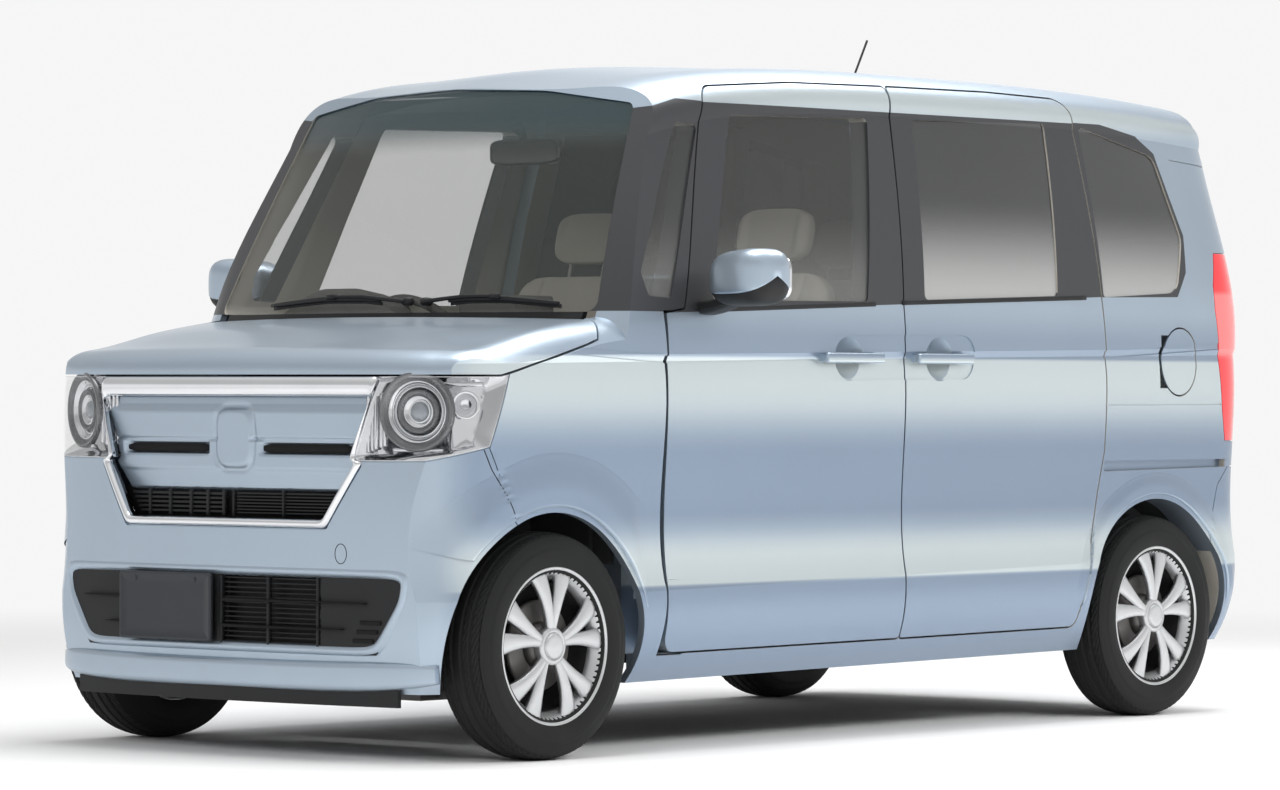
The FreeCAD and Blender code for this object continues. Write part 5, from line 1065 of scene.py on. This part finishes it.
def mirrorShell(low, high, grow=0.0):
    # sections across Y and Z shrink towards both ends by a superellipse; only the angles between low and high are kept
    sx, sy, sz = (d / 2 + grow for d in mirror["size"])
    s = np.sin(np.linspace(-np.pi / 2, np.pi / 2, 29))[:, None]
    shrink = np.clip(1 - np.abs(s) ** 3.6, 0, 1) ** (1 / 2.6)
    angle = np.radians(np.linspace(low, high, mirror["steps"]))[None]
    power = 2 / 3.4
    c, si = np.cos(angle), np.sin(angle)
    y = np.sign(c) * np.abs(c) ** power * sy * shrink
    z = np.sign(si) * np.abs(si) ** power * sz * shrink * (1 + 0.06 * s)
    y = np.minimum(y, 0.062 + grow)       # cut off flat behind, where the mirror plate is
    return np.stack([s * sx + 0 * angle, y, z - 0.004 * (1 - s)], -1)


def mirrorParts():
    c, s = math.cos(math.radians(mirror["lean"])), math.sin(math.radians(mirror["lean"]))
    wide, _, tall = mirror["size"]
    for label, side in (("left", 1), ("right", -1)):
        body = "door_" + label

        def place(points):
            x, y, z = points.T
            return (np.stack([c * x - s * y, s * x + c * y, z], -1) + mirror["centre"]) * (side, 1, 1)

        for name, shell, finish, slot, replaced in (
                ("mirrorCap_", mirrorShell(-22, 202), paint, "paint", ("mirror_" + label,)),
                ("mirrorBase_", mirrorShell(201, 339, -0.0012), blackTrim, "black_plastic", ())):
            made = Build()
            made.addGrid(shell)
            piece = made.placed(place).solid(name + label, finish, body, 2e-5, replaced=replaced, slot=slot)
            addModifier(piece, "SOLIDIFY", thickness=0.003, offset=-1.0)
        plate, arm, lamp = Build(), Build(), Build()
        loops = []
        for depth, inset in ((0.056, 0.022), (0.0640, 0.018), (0.0650, 0.022), (0.0640, 0.026)):
            corner = roundedLoop(wide - 2 * inset, tall - 2 * inset, 0.030, 6)
            loops.append(np.stack([corner[:, 0], np.full(len(corner), depth), corner[:, 1] - 0.004], -1))
        plate.addLoops(loops)
        plate.placed(place).solid("mirrorGlass_" + label, chrome, body, slot="chrome")
        section = swelled(roundedLoop(0.056, 0.034, 0.012, 5), np.linspace(1.0, 1.5, 16), np.linspace(0.8, 1.15, 16))
        arm.addTube(polyline(mirror["arm"], 16), section)
        arm.placed(place).solid("mirrorArm_" + label, blackTrim, body, slot="black_plastic")
        x = np.linspace(-0.030, 0.090, 24)
        path = np.stack([x, -0.052 + 0.020 * (np.abs(x) / 0.1) ** 3, np.full(24, -0.036)], -1)
        lamp.addTube(path, roundedLoop(0.010, 0.010, 0.003, 3))
        lamp.placed(place).solid("mirrorLamp_" + label, lensClear, body)


wiperParts()
mirrorParts()
print("wipers and mirrors built")

seats = {"front": {"x": 0.325, "width": 0.500, "y": -0.5600, "z": 0.5664, "nose": 0.070, "floor": 0.349},
         "rear": {"x": 0.2925, "width": 0.540, "y": 0.5299, "z": 0.5764, "nose": 0.240, "floor": 0.475},
         "depth": 0.480, "height": 0.150, "backDepth": 0.110, "backHeight": 0.600, "lean": 14.0, "footBack": 0.088,
         "footUp": 0.090, "voxel": 0.0135, "pressure": 4.0, "cap": 0.012, "headrest": (0.250, 0.080, 0.150),
         "stitch": 0.008, "post": 0.006}


def padGrid(size, power, steps=(40, 64)):
    # superellipse swept round a superellipse: a box with crowned faces and full corners
    def bend(w):
        return np.sign(w) * np.abs(w) ** power

    u = np.linspace(-np.pi / 2, np.pi / 2, steps[0])[:, None]
    v = np.linspace(0, 2 * np.pi, steps[1], endpoint=False)[None]
    return np.stack([size[0] / 2 * bend(np.cos(u)) * bend(np.cos(v)), size[1] / 2 * bend(np.cos(u)) * bend(np.sin(v)),
                     size[2] / 2 * bend(np.sin(u)) + 0 * v], -1)


def applyModifiers(piece):
    graph = bpy.context.evaluated_depsgraph_get()
    made = bpy.data.meshes.new_from_object(piece.evaluated_get(graph))
    piece.modifiers.clear()
    piece.data = made


def inflate(name, size, power):
    # even skin by voxels, then cloth under pressure; the swelling is capped and the pad scaled back into its box
    grid = padGrid(size, power)
    mesh = bpy.data.meshes.new(name)
    mesh.from_pydata(grid.reshape(-1, 3).tolist(), [], gridFaces(*grid.shape[:2], wrapColumns=True).tolist())
    pad = bpy.data.objects.new(name, mesh)
    scene.collection.objects.link(pad)
    fixNormals(pad, 1e-4)
    addModifier(pad, "REMESH", mode="VOXEL", voxel_size=seats["voxel"], use_smooth_shade=True)
    applyModifiers(pad)
    start = readPoints(pad.data)
    cloth = pad.modifiers.new("cloth", "CLOTH")
    cloth.settings.use_pressure = True
    cloth.settings.uniform_pressure_force = seats["pressure"]
    cloth.settings.effector_weights.gravity = 0
    cloth.settings.quality = 4
    for frameNumber in range(1, 16):
        scene.frame_set(frameNumber)
    applyModifiers(pad)
    scene.frame_set(1)
    points = readPoints(pad.data)
    move = points - start
    far = np.linalg.norm(move, axis=1, keepdims=True) + 1e-9
    points = start + move * np.minimum(1, seats["cap"] / far)
    pad.data.vertices.foreach_set("co", points.ravel())
    addModifier(pad, "SUBSURF", levels=1, render_levels=1)
    applyModifiers(pad)
    points = readPoints(pad.data)
    span = points.max(0) - points.min(0)
    points = (points - (points.max(0) + points.min(0)) / 2) * np.minimum(1, np.array(size) / span)
    pieces = [list(face.vertices) for face in pad.data.polygons]
    bpy.data.objects.remove(pad)
    return points, pieces


def sewn(points, size, channel, cross=None):
    # stitched channels: dips across the face on both sides of the middle, and one across
    x, top = points[:, 0], np.clip(points[:, 2] / (size[2] / 2), -1, 1)
    dip = np.exp(-((np.abs(x) - channel) / seats["stitch"]) ** 2)
    if cross is not None:
        dip = np.maximum(dip, np.exp(-((points[:, 1] - cross) / seats["stitch"]) ** 2) * (np.abs(x) < channel))
    lifted = np.array(points)
    lifted[:, 2] -= seats["stitch"] * dip * smoothStep(top, 0.2, 0.75)
    bolster = smoothStep(np.abs(x), size[0] * 0.30, size[0] * 0.42) * smoothStep(top, 0.1, 0.8)
    lifted[:, 2] -= 0.012 * (1 - bolster) * smoothStep(top, 0.3, 0.9)
    return lifted


def stand(points):
    # the pad's face turns from up to forwards, leaning back
    turn = math.radians(90 - seats["lean"])
    c, s = math.cos(turn), math.sin(turn)
    return np.stack([points[:, 0], -points[:, 2] * s + points[:, 1] * c, points[:, 1] * s + points[:, 2] * c], -1)


def seatRow(row, solid):
    look = seats[row]
    wide, depth, tall, lean = look["width"], seats["depth"], seats["height"], math.radians(seats["lean"])
    foot = np.array((0, look["y"] + depth - seats["footBack"], look["z"] + seats["footUp"]))
    up, back = np.array((0, math.sin(lean), math.cos(lean))), np.array((0, math.cos(lean), -math.sin(lean)))
    hw, hd, ht = seats["headrest"]

    def pad(part, size, power, *channels):
        points, faces = inflate(row + part + "Form", size, power)
        return sewn(points, size, *channels), faces

    points, faces = pad("Cushion", (wide - 0.006, depth - 0.006, tall - 0.004), 0.34, wide * 0.28, -0.02)
    shapes = {"Cushion": (points + (0, look["y"] + depth / 2, look["z"] + tall / 2), faces)}
    points, faces = pad("Back", (wide - 0.006, seats["backHeight"] - 0.006, seats["backDepth"] - 0.004), 0.36,
                        wide * 0.28, 0.10)
    shapes["Back"] = (stand(points) + foot + up * seats["backHeight"] / 2 + back * seats["backDepth"] / 2, faces)
    points, faces = pad("Rest", (hw - 0.004, ht - 0.004, hd - 0.003), 0.5, 0.5)
    points = stand(points) + foot + up * (seats["backHeight"] + 0.018 + ht / 2) + back * (0.015 + hd / 2)
    shapes["Headrest"] = (points, faces)
    ring = np.linspace(0, 2 * np.pi, 16, endpoint=False)
    section = np.stack([seats["post"] * np.cos(ring), seats["post"] * np.sin(ring)], -1)
    rise = up * np.linspace(0, 0.075, 6)[:, None]
    for label, side in (("left", 1), ("right", -1)):
        x, half, nose = side * look["x"], wide * 0.36, look["y"] + look["nose"]
        for part, (points, faces) in shapes.items():
            piece = makePiece(f"{row}{part}_{label}", points + (x, 0, 0), faces, seatCloth, "body", replaced=(solid,),
                              slot="seat_fabric")
        posts, base = Build(), Build()
        for px in (-0.06, 0.06):
            start = foot + up * (seats["backHeight"] - 0.03) + back * 0.055 + (x, 0, 0) + (px, 0, 0)
            posts.addTube(start + rise, section, upHint=(1, 0, 0))
        posts.solid(f"{row}Posts_{label}", steel, "body")
        addBox(base, (x - half, nose, look["floor"] + 0.004),
               (x + half, look["y"] + depth - 0.060, look["z"] + 0.030), 0.012)
        addBox(base, (x - half - 0.02, nose + 0.02, look["z"] - 0.045),
               (x + half + 0.02, look["y"] + depth - 0.08, look["z"] + 0.012), 0.010)
        base.solid(f"{row}SeatBase_{label}", trimBeige, "body")


seatRow("front", "front_seats")
seatRow("rear", "rear_seats")
print("seats built")

cabin = {"mirror": (0.015, -0.600, 1.523), "mirrorSize": (0.238, 0.036, 0.070),
         "stalk": [(0.0, -0.005, 0.020), (0.0, -0.015, 0.050), (0.0, -0.040, 0.072)],
         "hood": (-0.405, -0.815, 0.325, 0.115, 0.105), "tray": (0.008, 0.231, -0.86, -0.72, 0.130)}


def cabinParts():
    made, pads = Build(), Build()
    made.addGrid(padGrid(cabin["mirrorSize"], 0.42, (24, 40)) + cabin["mirror"], wrapColumns=True)
    wide = np.linspace(0.8, 1.9, 12)
    path = polyline(np.array(cabin["stalk"]) + cabin["mirror"], 12)
    made.addTube(path, swelled(roundedLoop(0.018, 0.018, 0.006, 5), wide, wide), upHint=(1, 0, 0))
    made.solid("innerMirror", pianoBlack, "body", 2e-5)
    # the hood is a smooth hump over the dashboard's top
    hx, hy, hw, hd, ht = cabin["hood"]
    u, v = np.linspace(-1, 1, 61)[None], np.linspace(-1, 1, 41)[:, None]
    rise = (1 - smoothStep(np.abs(u), 0.15, 1.0)) * (1 - smoothStep(np.abs(v), 0.35, 1.0))
    dashTree = surfaceTree("dashboard")
    x, y = hx + u * hw + 0 * v, hy + v * hd + 0 * u
    ground = np.array([[heightOn(dashTree, a, b) for a, b in zip(ra, rb)] for ra, rb in zip(x, y)])
    pads.addGrid(np.stack([x, y, ground - 0.004 + (ht + 0.004) * rise], -1))
    x0, x1, y0, y1, tall = cabin["tray"]
    base = heightOn(dashTree, (x0 + x1) / 2, (y0 + y1) / 2)
    addBox(pads, (x0, y0, base - 0.020), (x1, y1, base + tall * 0.7), 0.012)
    pads.solid("dashHood", dashGrain, "body")


cabinParts()
print("cabin built")

flares = {"frontArchLips": {"y": wheel["front"], "start": 14, "outer": 0.475, "proud": 0.009, "doorEdge": -0.944},
          "rearArchLips": {"y": wheel["rear"], "start": 4, "outer": 0.400, "proud": 0.006},
          "inner": 0.3405, "stop": 176}
trim = {"seam": [(-1.522, 0.764), (-1.497, 0.711), (-1.458, 0.654), (-1.420, 0.585)],
        "backBelt": [(-0.105 + 0.19, 1.133), (0.90, 1.158)], "doorBelt": [(-0.66, 1.106), (-0.03, 1.128)],
        "tow": (0.395, 0.505)}


def archLip(name):
    # polar grid round the wheel; the lip stands proud and sinks into the skin at its outer edge
    look, inner, stop = flares[name], flares["inner"], flares["stop"]
    t = np.linspace(0, 1, 22)[None]
    radius = inner + (look["outer"] - inner) * t
    begin = np.full_like(radius, look["start"])
    if "doorEdge" in look:          # cut off upright before the door
        begin = np.maximum(begin, np.degrees(np.arccos((look["doorEdge"] - look["y"]) / radius)))
    angle = np.radians(begin + (stop - begin) * np.linspace(0, 1, 90)[:, None])
    y, z = look["y"] + radius * np.cos(angle), wheel["z"] + radius * np.sin(angle)
    x = np.array([[skinAt(a, b) for a, b in zip(ra, rb)] for ra, rb in zip(y, z)])
    ends = smoothStep(np.degrees(angle), begin, begin + 8) * (1 - smoothStep(np.degrees(angle), stop - 8, stop))
    if "doorEdge" in look:
        ends = ends * (1 - smoothStep(y, look["doorEdge"] - 0.05, look["doorEdge"]))
    x = x + np.where(t >= 0.97, -0.0006, 0.0004) + look["proud"] * (1 - smoothStep(t, 0.28, 1.0)) * ends
    edge = angle[:, :1]
    folded = np.stack([x[:, :1] - 0.020, look["y"] + (inner - 0.001) * np.cos(edge),
                       wheel["z"] + (inner - 0.001) * np.sin(edge)], -1)
    grid = np.concatenate([folded, np.stack([x, y, z], -1)], axis=1)
    made = Build()
    made.addGrid(grid[~np.isnan(grid).any(axis=(1, 2))])
    halves(made, name, paint, "body", slot="paint")


def onSide(points, tree, steps):
    # a broken line of (y, z) laid on the side, without the points that miss it
    path = np.array([(skinAt(y, z, tree), y, z) for y, z in polyline(points, steps)])
    return path[~np.isnan(path[:, 0])]


def seamParts():
    lips = treeOf([bpy.data.objects["frontArchLips"].data, nodes["front_bumper"].data, nodes["front_fenders"].data])
    made = Build()
    made.addTube(onSide(trim["seam"], lips, 24) - (0.0009, 0, 0), roundedLoop(0.0030, 0.0030, 0.0009, 3))
    fixNormals(halves(made, "bumperSeams", softBlack, "body", slot="black_plastic"))


def beltParts():
    # rubber seals under the side glass, on the body and on the doors
    sides = surfaceTree("body_sides", "door_left", "sliding_doors")
    section = roundedLoop(0.006, 0.012, 0.002, 3)
    made = Build()
    made.addTube(onSide(trim["backBelt"], sides, 40) + (0.001, 0, 0), section)
    fixNormals(halves(made, "beltSeals", blackTrim, "body", slot="black_plastic"))
    path = onSide(trim["doorBelt"], sides, 40) + (0.001, 0, 0)
    for label, side in (("left", 1), ("right", -1)):
        made = Build()
        made.addTube(path * (side, 1, 1), section)
        made.solid("doorBeltSeal_" + label, blackTrim, "door_" + label, slot="black_plastic")


def towCover():
    # the fine joint round the cover of the towing eye
    ring = np.linspace(0, 2 * np.pi, 40, endpoint=False)
    cx, _, cz = frontAt(*trim["tow"])
    path = np.array([frontAt(x, z) for x, z in zip(cx + 0.018 * np.cos(ring), cz + 0.024 * np.sin(ring))])
    ahead = np.roll(path, -1, 0) - np.roll(path, 1, 0)
    ahead /= np.linalg.norm(ahead, axis=1)[:, None]
    side = np.cross(ahead, (0, -1, 0))[:, None]
    across, out = roundedLoop(0.0018, 0.0018, 0.0005, 2).T[..., None]
    made = Build()
    made.addGrid(path[:, None] + across * side + out * np.array((0, -1, 0)), wrapRows=True, wrapColumns=True)
    made.solid("towCoverSeam", softBlack, "body", slot="black_plastic")


archLip("frontArchLips")
archLip("rearArchLips")
seamParts()
beltParts()
towCover()
print("body details built")

rearLook = {"wiper": [(0.02, 1.165), (-0.14, 1.180), (-0.34, 1.172)], "plate": (0.0, 0.620, 0.330, 0.165),
            "garnish": (0.800, 0.62, 0.070)}


def rearParts():
    made, bar, plate = Build(), Build(), Build()
    path = np.array([rearAt(x, z) for x, z in polyline(rearLook["wiper"], 30)]) + (0, 0.012, 0)
    made.addTube(path[:20] + (0, 0.006, 0), roundedLoop(0.010, 0.014, 0.003, 4))
    made.addTube(path[6:], roundedLoop(0.010, 0.010, 0.003, 4))
    made.addTurned([(-0.020, 0.020), (0.004, 0.020), (0.012, 0.017), (0.015, 0.0005)], 32,
                   lambda grid: grid[..., [1, 0, 2]] + path[0] + (0, 0.002, 0))
    made.solid("rearWiper", blackTrim, "tailgate", slot="black_plastic")
    z, wide, tall = rearLook["garnish"]
    xs = np.linspace(-wide / 2, wide / 2, 40)
    fall = np.clip(1 - np.abs(xs / (wide / 2)) ** 8, 0.1, 1)
    section = swelled(roundedLoop(0.022, tall, 0.008, 5), np.ones(40), fall)
    bar.addTube([rearAt(x, z) for x in xs], section)
    bar.solid("rearGarnish", chrome, "tailgate", slot="chrome")
    px, pz = rearLook["plate"][:2]
    addPlate(plate, [(-0.004, 0.0), (0.0, 0.0), (0.0028, 0.0012), (0.0032, 0.0034), (0.0032, 0.0075), (0.0020, 0.0092),
                     (0.0020, 0.03)], rearLook["plate"], rearAt(px, pz)[1] + 0.006)
    plate.solid("plateRear", plateBlank, "tailgate", slot="black_plastic")


rearParts()
print("rear details built")
